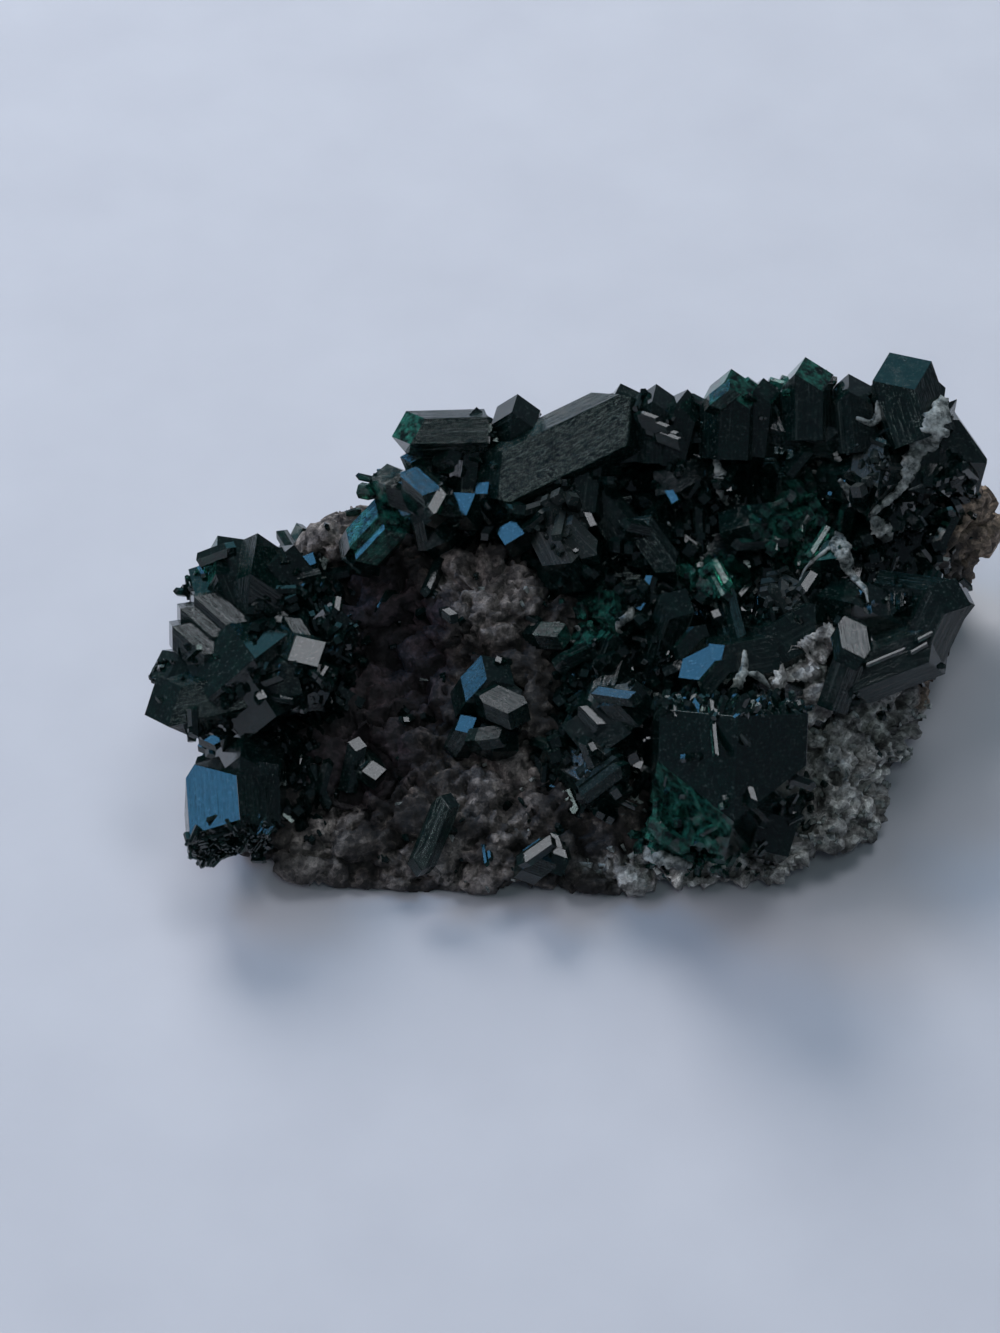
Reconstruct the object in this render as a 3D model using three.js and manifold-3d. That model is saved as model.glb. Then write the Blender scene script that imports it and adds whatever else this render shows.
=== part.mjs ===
// Dioptase specimen: dark green dioptase crystals grown over the front and top of a wedge of pale
// brown matrix rock, with a few seams of white calcite between them. Millimetres, +Z up, and the
// flat of the rock's underside lies on Z = 0.
//
// Places are given on the display plane, the plane that a collector looks at square on. It leans back
// DISPLAY_LEAN from upright: u runs to the right along it, v runs up it, and w stands out of it.

import * as THREE from "three";
import { ConvexGeometry } from "three/addons/geometries/ConvexGeometry.js";
import { ImprovedNoise } from "three/addons/math/ImprovedNoise.js";
import { mergeVertices } from "three/addons/utils/BufferGeometryUtils.js";
import Module from "manifold-3d";

const wasm = await Module();
wasm.setup();

// ---- Driving dimensions ----

const DISPLAY_LEAN = 45; // degrees from upright
const CLEARANCE = 0.15; // each side of a socket or a contact, so 0.3 mm between two pieces
const LOWEST_CRYSTAL = 0.5; // height over the surface that the specimen rests on
const CUT_BLOCK = 200; // side of the block that trims the underside
const ROCK_DETAIL = 7; // subdivisions of the icosahedron that the rock starts from
const INNER_DETAIL = 3; // the same for the two smooth layers inside the rock
const CRUST_DEPTH = 0.7; // how far below the rock's surface the crust between the crystals lies
const BED_DEPTH = 2.2; // how far below it the crystals' roots end

// Dioptase is trigonal: a hexagonal prism closed by a rhombohedron, whose three faces sit over
// alternate prism edges with their normals 51 degrees from the long axis.
const CAP_ANGLE = THREE.MathUtils.degToRad(51);

// How far a face leans to the right and back from the display plane, in degrees.
const TO_THE_SKY = [-25, 31]; // the up and left faces, all parallel
const TO_THE_LAMP = [10, 31];

// ---- The display plane ----

const lean = THREE.MathUtils.degToRad(DISPLAY_LEAN);
const display = new THREE.Matrix4().makeBasis(
  new THREE.Vector3(1, 0, 0),
  new THREE.Vector3(0, Math.sin(lean), Math.cos(lean)),
  new THREE.Vector3(0, -Math.cos(lean), Math.sin(lean)),
);

const direction = (angle, rise = 0) => {
  const a = THREE.MathUtils.degToRad(angle);
  const r = THREE.MathUtils.degToRad(rise);
  return new THREE.Vector3(Math.cos(a) * Math.cos(r), Math.sin(a) * Math.cos(r), Math.sin(r));
};

const facing = ([right, back]) =>
  new THREE.Vector3(
    Math.tan(THREE.MathUtils.degToRad(right)),
    Math.tan(THREE.MathUtils.degToRad(back)),
    1,
  ).normalize();

// ---- Solids ----

function solidOf(geometry) {
  geometry.deleteAttribute("normal");
  geometry.deleteAttribute("uv");
  const merged = mergeVertices(geometry, 1e-4);
  return new wasm.Manifold(
    new wasm.Mesh({
      numProp: 3,
      vertProperties: new Float32Array(merged.attributes.position.array),
      triVerts: new Uint32Array(merged.index.array),
    }),
  );
}

function geometryOf(solid) {
  const { vertProperties, triVerts, numProp } = solid.getMesh();
  const position = new Float32Array((vertProperties.length / numProp) * 3);
  for (let i = 0; i < position.length / 3; i++) {
    position.set(vertProperties.subarray(i * numProp, i * numProp + 3), i * 3);
  }
  const geometry = new THREE.BufferGeometry();
  geometry.setAttribute("position", new THREE.BufferAttribute(position, 3));
  geometry.setIndex(new THREE.BufferAttribute(new Uint32Array(triVerts), 1));
  geometry.computeVertexNormals();
  return geometry;
}

// The largest of the pieces that a cut leaves. The rest are chips.
const largest = (solid) =>
  solid.decompose().reduce((best, piece) => (piece.volume() > best.volume() ? piece : best));

const joined = (solids) => solids.reduce((all, solid) => all.add(solid));

// ---- Matrix rock ----

// The rock's outline on the display plane, anticlockwise from the right. Each point has its height
// over the resting surface and how sharply the face turns over there, from 2, rounded, to 9, sharp.
const ROCK_OUTLINE = [
  { u: 39.8, v: 10.8, height: 9, edge: 4 },
  { u: 36.6, v: 15.0, height: 13, edge: 5 },
  { u: 31.8, v: 18.8, height: 17, edge: 6 },
  { u: 23.0, v: 20.2, height: 19, edge: 6 },
  { u: 12.5, v: 20.0, height: 19.5, edge: 6 },
  { u: 3.0, v: 19.4, height: 19.5, edge: 6 },
  { u: -5.5, v: 17.0, height: 18.5, edge: 6 },
  { u: -12.5, v: 14.0, height: 17, edge: 6 },
  { u: -17.5, v: 11.0, height: 15.5, edge: 5 },
  { u: -21.2, v: 10.4, height: 15.5, edge: 5 },
  { u: -24.8, v: 8.3, height: 13.5, edge: 4 },
  { u: -30.0, v: 5.2, height: 11, edge: 5 },
  { u: -34.0, v: 0.5, height: 8, edge: 5 },
  { u: -34.5, v: -6.0, height: 6, edge: 5 },
  { u: -31.0, v: -12.5, height: 4, edge: 5 },
  { u: -28.6, v: -19.0, height: 2, edge: 6 },
  { u: -24.5, v: -22.0, height: 1.2, edge: 7 },
  { u: -18.5, v: -22.6, height: 1, edge: 7 },
  { u: -11.0, v: -23.3, height: 0.8, edge: 7 },
  { u: -3.0, v: -22.2, height: 1.6, edge: 7 },
  { u: 2.2, v: -23.2, height: 0.9, edge: 7 },
  { u: 8.0, v: -22.3, height: 1.8, edge: 7 },
  { u: 20.5, v: -21.6, height: 1.6, edge: 6 },
  { u: 27.3, v: -16.3, height: 1.8, edge: 4 },
  { u: 28.8, v: -12.5, height: 2.4, edge: 3 },
  { u: 32.6, v: -5.0, height: 4, edge: 3 },
  { u: 35.6, v: 2.5, height: 6, edge: 4 },
];
const ROCK_MIDDLE = { u: 0, v: -1.5 };
const BACK_DEPTH = 9.5; // how far the back face stands behind the display plane's middle

// Broad swellings and hollows of the front: the place, its reach along u and v, and its height.
const ROCK_RELIEF = [
  { u: -15.5, v: -1.0, across: 4.6, up: 9.0, rise: -4.2 }, // the dark hollow beside the left lobe
  { u: -29.0, v: -5.0, across: 8.0, up: 9.0, rise: 1.6 }, // left lobe
  { u: -7.8, v: 1.6, across: 4.5, up: 4.0, rise: 1.4 }, // brown boss in the middle
  { u: -7.0, v: -17.0, across: 9.0, up: 4.0, rise: 1.2 }, // front boss
  { u: 25.5, v: -10.0, across: 6.0, up: 6.0, rise: 1.8 }, // vuggy shoulder on the right
  { u: 26.0, v: -8.0, across: 1.6, up: 2.4, rise: -2.2 }, // vug
  { u: 22.8, v: -13.5, across: 1.3, up: 2.0, rise: -2.0 }, // vug
];
const FACE_HEIGHT = 19; // w of the front at v = 0
const FACE_SLOPE = 0.3;

// Beds, ovals where the crystals' crust lies in the rock. There the rock stops short of their roots.
const LOBE_BEDS = [{ u: -28.5, v: -1.5, across: 8.0, up: 9.0 }];
const MAIN_BEDS = [
  { u: -10.5, v: 12.5, across: 8.5, up: 4.5 },
  { u: 6.0, v: 11.0, across: 10.5, up: 8.5 },
  { u: 20.5, v: 9.5, across: 12.0, up: 10.0 },
  { u: 8.5, v: -5.5, across: 9.0, up: 8.0 },
  { u: 27.5, v: 3.0, across: 6.5, up: 6.5 },
];
const FRONT_BEDS = [{ u: 13.0, v: -13.5, across: 7.0, up: 7.5 }];
const BEDS = [...LOBE_BEDS, ...MAIN_BEDS, ...FRONT_BEDS];
const BED_SINK = 3.3; // how far the rock drops in a bed

const noise = new ImprovedNoise();
const ripple = (p, size, seed) => noise.noise(p.x / size + seed, p.y / size - seed, p.z / size + 2 * seed);

function rockFront(u, v) {
  const relief = ROCK_RELIEF.map(
    (r) => r.rise * Math.exp(-(((u - r.u) / r.across) ** 2) - ((v - r.v) / r.up) ** 2),
  );
  return FACE_HEIGHT - FACE_SLOPE * v + relief.reduce((sum, rise) => sum + rise);
}

// From 0 outside the beds to 1 inside them.
const bedAt = (u, v) =>
  Math.max(
    ...BEDS.map((bed) => {
      const out = Math.hypot((u - bed.u) / bed.across, (v - bed.v) / bed.up);
      return 1 - THREE.MathUtils.smoothstep(out, 1.0, 1.15);
    }),
  );

// Underside and back face meet in a blunt ridge behind the display plane.
function rockBack(u, v) {
  const underside = -v - 1.8;
  const backFace = v - BACK_DEPTH * Math.SQRT2;
  return Math.max(underside, backFace);
}

const outlineCurve = new THREE.CatmullRomCurve3(
  ROCK_OUTLINE.map((p) => new THREE.Vector3(p.u, p.v, p.height)),
  true,
  "centripetal",
);
const edgeCurve = new THREE.CatmullRomCurve3(
  ROCK_OUTLINE.map((p) => new THREE.Vector3(p.u, p.v, p.edge)),
  true,
  "centripetal",
);
const OUTLINE_STEPS = 900;
const rimSamples = Array.from({ length: OUTLINE_STEPS }, (_, i) => {
  const p = outlineCurve.getPoint(i / OUTLINE_STEPS);
  const edge = edgeCurve.getPoint(i / OUTLINE_STEPS).z;
  const du = p.x - ROCK_MIDDLE.u;
  const dv = p.y - ROCK_MIDDLE.v;
  return { angle: Math.atan2(dv, du), reach: Math.hypot(du, dv), v: p.y, height: p.z, edge };
}).sort((a, b) => a.angle - b.angle);

function rimAt(angle) {
  const next = rimSamples.findIndex((s) => s.angle > angle);
  const b = rimSamples[next < 0 ? 0 : next];
  const a = rimSamples[(next <= 0 ? OUTLINE_STEPS : next) - 1];
  const span = (b.angle - a.angle + 2 * Math.PI) % (2 * Math.PI);
  const share = span ? ((angle - a.angle + 2 * Math.PI) % (2 * Math.PI)) / span : 0;
  const mix = (key) => THREE.MathUtils.lerp(a[key], b[key], share);
  return { reach: 1.02 * mix("reach"), w: mix("height") * Math.SQRT2 - mix("v"), edge: mix("edge") };
}

// The rock, or the shape that lies a depth inside it. rough scales its lumps.
function rockShape({ depth = 0, detail = ROCK_DETAIL, rough = 1, bedded = false }) {
  const ball = new THREE.IcosahedronGeometry(1, detail);
  const position = ball.getAttribute("position");
  const p = new THREE.Vector3();
  for (let i = 0; i < position.count; i++) {
    p.fromBufferAttribute(position, i).normalize();
    const tilt = Math.acos(Math.min(1, Math.abs(p.z)));
    const out = THREE.MathUtils.lerp(Math.SQRT2 * Math.sin(tilt / 2), Math.sin(tilt), 0.6);
    const angle = Math.atan2(p.y, p.x);
    const rim = rimAt(angle);
    const placeAt = (reach) => [
      ROCK_MIDDLE.u + out * reach * Math.cos(angle),
      ROCK_MIDDLE.v + out * reach * Math.sin(angle),
    ];
    const bed = bedded ? bedAt(...placeAt(rim.reach)) * (p.z >= 0 ? 1 : out ** 8) : 0;
    const sunk = depth + bed * BED_SINK;
    const [u, v] = placeAt(rim.reach - sunk);
    const rounding = Math.sqrt(Math.max(0, 1 - out ** rim.edge));
    const far = p.z >= 0 ? rockFront(u, v) - sunk : rockBack(u, v) + sunk;
    const point = new THREE.Vector3(u, v, rim.w + (far - rim.w) * rounding);
    const lumps = 1.5 * ripple(point, 7, 3) + 0.75 * ripple(point, 3.4, 11);
    const sway = 1.1 * ripple(point, 6, 29) + 0.5 * ripple(point, 2.8, 41);
    const size = rough * (1 - 0.85 * bed);
    point.x += size * p.x * sway;
    point.y += size * p.y * sway;
    point.z += size * (p.z >= 0 ? lumps : -lumps);
    position.setXYZ(i, ...point.applyMatrix4(display).toArray());
  }
  return solidOf(ball);
}

// The crust that the crystals of some beds stand on, ovals cut from a layer of the rock's shape.
function crustSolid(beds, grow = 0) {
  const ovals = beds.map((bed) => {
    const oval = new THREE.CylinderGeometry(1, 1, FACE_HEIGHT, 12).rotateX(Math.PI / 2);
    oval.scale(bed.across + grow, bed.up + grow, 1);
    oval.translate(bed.u, bed.v, FACE_HEIGHT - FACE_SLOPE * bed.v);
    return solidOf(oval.applyMatrix4(display));
  });
  const layer = rockShape({ depth: CRUST_DEPTH - grow, detail: INNER_DETAIL, rough: 0 });
  return joined(ovals).intersect(layer);
}

const floorBlock = (top) =>
  solidOf(
    new THREE.BoxGeometry(CUT_BLOCK, CUT_BLOCK, CUT_BLOCK).translate(0, 0, top - CUT_BLOCK / 2),
  );

// ---- One crystal ----

// The solid that lies behind every plane of a list, as a convex hull of its corners.
function insidePlanes(planes, matrix) {
  const corners = [];
  planes.forEach((a, i) =>
    planes.slice(i + 1).forEach((b, j) =>
      planes.slice(i + j + 2).forEach((c) => {
        const bc = b.normal.clone().cross(c.normal);
        const volume = a.normal.dot(bc);
        if (Math.abs(volume) < 1e-5) return;
        const corner = bc
          .multiplyScalar(a.out)
          .addScaledVector(c.normal.clone().cross(a.normal), b.out)
          .addScaledVector(a.normal.clone().cross(b.normal), c.out)
          .divideScalar(volume);
        if (planes.some((p) => p.normal.dot(corner) > p.out + 1e-5)) return;
        if (corners.some((known) => known.distanceTo(corner) < 1e-3)) return;
        corners.push(corner);
      }),
    ),
  );
  return solidOf(new ConvexGeometry(corners.map((corner) => corner.applyMatrix4(matrix))));
}

// A crystal in its own frame: its long axis is +Z, its first prism face looks along +X, and the
// middle of that length is at the origin. depth is across the first pair of prism faces, face is
// the width of one of them, and root is a flat foot where the crystal is buried.
function crystalPlanes({ depth, face, length, root }, grow) {
  const across = 0.433 * face + 0.25 * depth;
  const prism = Array.from({ length: 6 }, (_, k) => ({
    normal: new THREE.Vector3(Math.cos((k * Math.PI) / 3), Math.sin((k * Math.PI) / 3), 0),
    out: (k % 3 === 0 ? depth / 2 : across) + grow,
  }));
  const run = Math.sin(CAP_ANGLE);
  const rise = Math.cos(CAP_ANGLE);
  const cap = (end, first) =>
    [0, 1, 2].map((k) => {
      const angle = first + (k * 2 * Math.PI) / 3;
      const normal = new THREE.Vector3(run * Math.cos(angle), run * Math.sin(angle), end * rise);
      return { normal, out: (length / 2) * rise + grow };
    });
  const foot = { normal: new THREE.Vector3(0, 0, -1), out: length / 2 + grow };
  return [...prism, ...cap(1, Math.PI / 6), ...(root ? [foot] : cap(-1, -Math.PI / 6))];
}

const frameOf = (along, first, at) => {
  const z = along.clone().normalize();
  const x = first.clone().addScaledVector(z, -first.dot(z)).normalize();
  return new THREE.Matrix4().makeBasis(x, z.clone().cross(x), z).setPosition(at);
};

// A crystal that lies along the rock and shows one prism face. (u, v) is the middle of that face,
// lift its height over the rock, tilt how it faces, and lie the way that the crystal points.
function lying({ u, v, lift = 2, tilt = [0, 0], lie, face, depth = face * 1.6, length, root = false }) {
  const normal = facing(tilt);
  const along = direction(lie);
  along.z = -(normal.x * along.x + normal.y * along.y) / normal.z;
  const middle = new THREE.Vector3(u, v, rockFront(u, v) + lift).addScaledVector(normal, -depth / 2);
  return { shape: { depth, face, length, root }, at: frameOf(along, normal, middle) };
}

// A crystal that stands out of the rock and shows one face of its cap. (u, v) is the middle of that
// face and lie is the way that its point lies from there.
function standing({ u, v, lift = 2, tilt = [0, 0], lie, width, length }) {
  const normal = facing(tilt);
  const down = direction(lie);
  down.z = -(normal.x * down.x + normal.y * down.y) / normal.z;
  down.normalize();
  const along = normal
    .clone()
    .multiplyScalar(Math.cos(CAP_ANGLE))
    .addScaledVector(down, Math.sin(CAP_ANGLE));
  const corner = width / Math.sqrt(3);
  const towards = normal.clone().addScaledVector(along, -Math.cos(CAP_ANGLE)).normalize();
  const full = length ?? THREE.MathUtils.clamp((lift + 3) / Math.max(0.3, along.z), 1.1 * width, 14);
  const middle = new THREE.Vector3(u, v, rockFront(u, v) + lift)
    .addScaledVector(towards, -corner / 2)
    .addScaledVector(along, (corner / 2) * Math.tan(CAP_ANGLE) - full / 2);
  const first = towards.clone().applyAxisAngle(along, -Math.PI / 6);
  return {
    shape: { depth: width, face: corner, length: full, root: true },
    at: frameOf(along, first, middle),
  };
}

// A crystal given by its point: (u, v) is the tip, lie the way it points on the display plane, rise
// its angle out of that plane, and turn its turn about its own axis.
function pointed({ u, v, lift = 3, lie, rise = 20, turn = 0, width, length, surface = rockFront }) {
  const along = direction(lie, rise);
  const tip = new THREE.Vector3(u, v, surface(u - 3 * along.x, v - 3 * along.y) + lift);
  const middle = tip.addScaledVector(along, -length / 2);
  const first = new THREE.Vector3(0, 0, 1)
    .addScaledVector(along, -along.z)
    .applyAxisAngle(along, THREE.MathUtils.degToRad(turn));
  const shape = { depth: width, face: width / Math.sqrt(3), length, root: true };
  return { shape, at: frameOf(along, first, middle) };
}

// Thin crystals grown side by side, which leave grooves along the face that they share.
function sheaf({ ribs, step = 0.25, pitch, seed, ...crystal }) {
  return Array.from({ length: ribs }, (_, i) => {
    const place = (i - (ribs - 1) / 2) * pitch;
    const across = direction(crystal.lie + 90);
    const slide = THREE.MathUtils.seededRandom(seed * 7 + i) - 0.5;
    return lying({
      ...crystal,
      u: crystal.u + across.x * place + slide * direction(crystal.lie).x,
      v: crystal.v + across.y * place + slide * direction(crystal.lie).y,
      lift: crystal.lift + (i % 2 ? -step : step * slide),
    });
  });
}

// Crystals that fill an oval patch of the rock and point every way out of it. Each is the one of a few
// tries that stands farthest from those before it.
const TRIES = 12;
function scattered({ u, v, across, up, count, widths, lift = 2.6, seed }) {
  const spots = [];
  const random = (n) => THREE.MathUtils.seededRandom(seed * 1009 + n);
  for (let i = 0; i < count; i++) {
    const tries = Array.from({ length: TRIES }, (_, k) => {
      const angle = 2 * Math.PI * random(i * 97 + k * 5);
      const out = Math.sqrt(random(i * 131 + k * 7 + 1));
      const spot = { u: u + across * out * Math.cos(angle), v: v + up * out * Math.sin(angle) };
      spot.room = Math.min(...spots.map((s) => Math.hypot(s.u - spot.u, s.v - spot.v)), Infinity);
      return spot;
    });
    spots.push(tries.reduce((best, spot) => (spot.room > best.room ? spot : best)));
  }
  return spots.map((spot, i) => {
    const rise = 20 + 45 * random(i * 11 + 3);
    const width = THREE.MathUtils.lerp(...widths, random(i * 17 + 5) ** 1.5);
    const high = lift * (0.6 + 0.8 * random(i * 23 + 7));
    const reach = (high + 2) / Math.sin(THREE.MathUtils.degToRad(rise));
    return pointed({
      u: spot.u,
      v: spot.v,
      lift: high,
      lie: 360 * random(i * 7 + 2),
      rise,
      turn: 60 * random(i * 5 + 1),
      width,
      length: THREE.MathUtils.clamp(reach, 1.6 * width, 2.3 * width),
    });
  });
}

const crystalSolid = ({ shape, at }, grow = 0) =>
  insidePlanes(crystalPlanes(shape, grow), display.clone().multiply(at));

// ---- The crystals, group by group, from the left ----

const LEFT_LOBE = [
  ...sheaf({
    u: -32.1, v: 0.3, lift: 5.0, tilt: TO_THE_LAMP,
    lie: 139, face: 1.9, depth: 3.2, length: 7.4, ribs: 3, pitch: 1.6, seed: 3,
  }),
  pointed({ u: -31.6, v: 8.0, lift: 3.5, lie: 112, rise: 12, turn: 12, width: 7.0, length: 13 }),
  pointed({ u: -28.0, v: 8.2, lift: 4.0, lie: 84, rise: 15, turn: 30, width: 7.5, length: 13 }),
  pointed({ u: -24.8, v: 7.2, lift: 3.2, lie: 66, rise: 20, turn: 5, width: 5.0, length: 11 }),
  pointed({ u: -34.2, v: 5.0, lift: 2.6, lie: 140, rise: 12, width: 5.0, length: 11 }),
  pointed({ u: -37.6, v: -4.6, lift: 2.0, lie: 186, rise: 6, turn: 20, width: 4.2, length: 11 }),
  pointed({ u: -37.8, v: -7.9, lift: 2.6, lie: 194, rise: 2, width: 5.4, length: 14 }),
  pointed({ u: -31.9, v: -6.4, lift: 6.0, lie: 220, rise: 50, turn: 30, width: 8.0, length: 11 }),
  pointed({ u: -26.0, v: -8.0, lift: 5.4, lie: 320, rise: 55, turn: 10, width: 6.5, length: 9 }),
  standing({ u: -23.4, v: -2.3, lift: 6.2, tilt: TO_THE_LAMP, lie: 305, width: 3.9 }),
  pointed({ u: -20.8, v: 1.6, lift: 3.0, lie: 70, rise: 40, width: 3.4, length: 8 }),
  pointed({ u: -21.2, v: -5.4, lift: 3.2, lie: 345, rise: 45, turn: 20, width: 3.8, length: 8 }),
  lying({
    u: -31.6, v: -13.9, lift: 5.0, tilt: TO_THE_SKY,
    lie: 97, face: 4.8, depth: 5.2, length: 8.8, root: true,
  }),
  lying({ u: -27.4, v: -14.4, lift: 3.8, tilt: [24, -4], lie: 272, face: 3.6, depth: 6, length: 10.5 }),
  pointed({ u: -28.4, v: -20.0, lift: 2.4, lie: 262, rise: 5, turn: 30, width: 3.0, length: 8 }),
];

const HOLLOW_EDGE = [
  standing({ u: -19.1, v: -10.5, lift: 1.5, tilt: TO_THE_LAMP, lie: 80, width: 1.7, length: 5 }),
  standing({ u: -17.6, v: -12.8, lift: 1.7, tilt: TO_THE_LAMP, lie: 280, width: 2.2, length: 5 }),
];

const WEST_RIDGE = [
  pointed({ u: -16.2, v: 17.0, lift: 4.2, lie: 182, rise: 8, turn: 8, width: 4.0, length: 8.5 }),
  pointed({ u: -8.6, v: 19.7, lift: 3.4, lie: 84, rise: 8, width: 2.4, length: 8 }),
  pointed({ u: -4.9, v: 20.9, lift: 3.2, lie: 86, rise: 10, turn: 20, width: 4.0, length: 8 }),
  pointed({ u: -18.2, v: 13.3, lift: 3.2, lie: 160, rise: 12, turn: 25, width: 3.4, length: 8 }),
  ...sheaf({
    u: -18.4, v: 8.8, lift: 3.4, tilt: TO_THE_SKY,
    lie: 47, face: 1.7, depth: 3.2, length: 7.2, ribs: 2, pitch: 1.2, seed: 27,
  }),
  lying({ u: -13.9, v: 12.9, lift: 5.6, tilt: TO_THE_SKY, lie: 146, face: 2.0, depth: 4, length: 6 }),
  lying({ u: -12.0, v: 11.2, lift: 6.0, tilt: TO_THE_LAMP, lie: 60, face: 1.0, depth: 3.0, length: 4 }),
  standing({ u: -10.1, v: 10.9, lift: 4.0, tilt: TO_THE_SKY, lie: 300, width: 3.4, length: 6 }),
  standing({ u: -5.6, v: 8.4, lift: 2.8, tilt: TO_THE_SKY, lie: 250, width: 3.0, length: 5 }),
  pointed({ u: -13.0, v: 6.8, lift: 2.0, lie: 230, rise: 45, width: 3.0, length: 6 }),
  pointed({ u: -3.2, v: 11.0, lift: 2.8, lie: 20, rise: 50, turn: 5, width: 3.6, length: 7 }),
];

const LONG_SLAB = [
  lying({ u: -0.7, v: 15.9, lift: 5.0, tilt: [2, 4], lie: 26, face: 4.4, depth: 5.2, length: 18.5 }),
];

const TOP_RIDGE = [
  pointed({ u: 4.4, v: 21.9, lift: 3.0, lie: 96, rise: 8, width: 4.0, length: 7 }),
  pointed({ u: 7.6, v: 21.8, lift: 3.6, lie: 88, rise: 8, turn: 20, width: 4.0, length: 7 }),
  pointed({ u: 10.4, v: 21.3, lift: 3.8, lie: 76, rise: 10, turn: 10, width: 3.6, length: 7 }),
  pointed({ u: 14.3, v: 23.1, lift: 4.8, lie: 88, rise: 8, turn: 8, width: 4.8, length: 8 }),
  pointed({ u: 17.2, v: 22.3, lift: 4.4, lie: 84, rise: 10, width: 3.0, length: 7 }),
  pointed({ u: 21.0, v: 24.2, lift: 4.6, lie: 90, rise: 3, turn: 4, width: 4.4, length: 7.5 }),
  pointed({ u: 24.9, v: 22.7, lift: 4.0, lie: 96, rise: 6, turn: 22, width: 4.2, length: 7 }),
  lying({ u: 20.2, v: 17.9, lift: 4.2, tilt: [0, 22], lie: 166, face: 1.6, depth: 3.0, length: 10 }),
];

const MIDDLE = [
  lying({ u: 1.2, v: 12.2, lift: 3.2, tilt: [5, 10], lie: 22, face: 4.4, depth: 5, length: 8 }),
  standing({ u: 9.2, v: 1.9, lift: 4.4, tilt: [-8, 18], lie: 60, width: 3.6 }),
  standing({ u: 11.2, v: -3.2, lift: 6.4, tilt: TO_THE_SKY, lie: 215, width: 5.4, length: 9 }),
  lying({ u: 3.9, v: -6.1, lift: 5.2, tilt: [-20, 36], lie: 5, face: 2.2, depth: 4, length: 6 }),
  lying({ u: -1.9, v: -0.4, lift: 3.6, tilt: [6, 24], lie: 0, face: 2.6, depth: 3.8, length: 5.2 }),
  pointed({ u: 1.4, v: -12.0, lift: 4.2, lie: 240, rise: 50, width: 6.4, length: 9 }),
  ...scattered({ u: 6.0, v: 7.0, across: 8.0, up: 5.0, count: 6, widths: [3.4, 5.4], seed: 145 }),
  ...scattered({ u: 19.5, v: 9.0, across: 8.0, up: 7.0, count: 6, widths: [3.4, 5.6], seed: 65 }),
  ...scattered({ u: 9.5, v: -2.5, across: 8.0, up: 4.0, count: 4, widths: [3.2, 5.0], seed: 645 }),
  ...scattered({ u: 2.8, v: -11.5, across: 4.0, up: 4.5, count: 2, widths: [3.4, 5.0], seed: 72 }),
  ...scattered({ u: 28.5, v: 6.5, across: 4.5, up: 6.0, count: 3, widths: [3.2, 4.4], seed: 76 }),
];

const RIGHT = [
  lying({ u: 19.2, v: -1.0, lift: 4.0, tilt: [4, 12], lie: 28, face: 3.6, depth: 5, length: 10.5 }),
  lying({ u: 28.2, v: -3.0, lift: 4.0, tilt: [8, 10], lie: 21, face: 2.8, depth: 4.6, length: 12.5 }),
  standing({ u: 33.3, v: 2.6, lift: 5.2, tilt: [16, 22], lie: 70, width: 4.2, length: 9 }),
  standing({ u: 25.0, v: -0.9, lift: 6.0, tilt: TO_THE_LAMP, lie: 70, width: 2.8, length: 8 }),
  pointed({ u: 35.8, v: 1.8, lift: 2.8, lie: -8, rise: 20, turn: 10, width: 3.6, length: 9 }),
];

const CORNER = [
  standing({ u: 29.5, v: 22.8, lift: 7.0, tilt: [-6, 42], lie: 118, width: 5.8, length: 8.5 }),
  pointed({ u: 32.8, v: 22.0, lift: 5.0, lie: 80, rise: 12, turn: 8, width: 3.6, length: 10 }),
  lying({ u: 34.4, v: 16.6, lift: 4.4, tilt: [12, 20], lie: -56, face: 3.0, depth: 4.4, length: 9.5 }),
];

const LARGE_FRONT = [
  pointed({ u: 13.0, v: -20.6, lift: 5.0, lie: 268, rise: -6, turn: 28, width: 12.8, length: 13.6 }),
  standing({ u: 17.4, v: -18.2, lift: 5.4, tilt: [12, 6], lie: 300, width: 5.0, length: 9 }),
];

const EMERALD_TUFT = [
  ...scattered({
    u: 8.8, v: -17.8, across: 2.4, up: 1.4,
    count: 3, widths: [1.8, 2.6], lift: 4.2, seed: 90,
  }),
];

const FRONT_BLADE = [
  lying({ u: -12.5, v: -18.2, lift: 2.4, tilt: [-14, 12], lie: 248, face: 1.5, depth: 1.8, length: 8 }),
];

const FRONT_LEAVES = [
  lying({ u: -3.8, v: -20.0, lift: 2.4, tilt: TO_THE_SKY, lie: 35, face: 1.7, depth: 3, length: 5 }),
  lying({
    u: -1.3, v: -19.8, lift: 2.6, tilt: TO_THE_LAMP,
    lie: -75, face: 1.1, depth: 2.6, length: 3.6,
  }),
];

const CENTRE_FACETS = [
  lying({ u: -8.8, v: -4.7, lift: 3.4, tilt: TO_THE_SKY, lie: 47, face: 2.3, depth: 4, length: 7 }),
  standing({ u: -6.2, v: -6.9, lift: 3.2, tilt: [-4, 24], lie: 310, width: 4.2, length: 5 }),
  standing({ u: -9.5, v: -8.7, lift: 2.4, tilt: TO_THE_SKY, lie: 30, width: 2.4, length: 4 }),
  standing({ u: -7.6, v: -9.9, lift: 2.6, tilt: [-4, 24], lie: 200, width: 2.9, length: 4 }),
];

const behind = { surface: rockBack };
const BACK = [
  pointed({ u: 10.5, v: 15.0, lift: -2.4, lie: 80, rise: -38, width: 4.4, length: 9, ...behind }),
  pointed({
    u: 14.4, v: 12.6, lift: -2.2,
    lie: 30, rise: -45, turn: 20, width: 3.6, length: 8, ...behind,
  }),
  pointed({
    u: 7.4, v: 12.2, lift: -2.2,
    lie: 150, rise: -40, turn: 10, width: 3.8, length: 8, ...behind,
  }),
];

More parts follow.
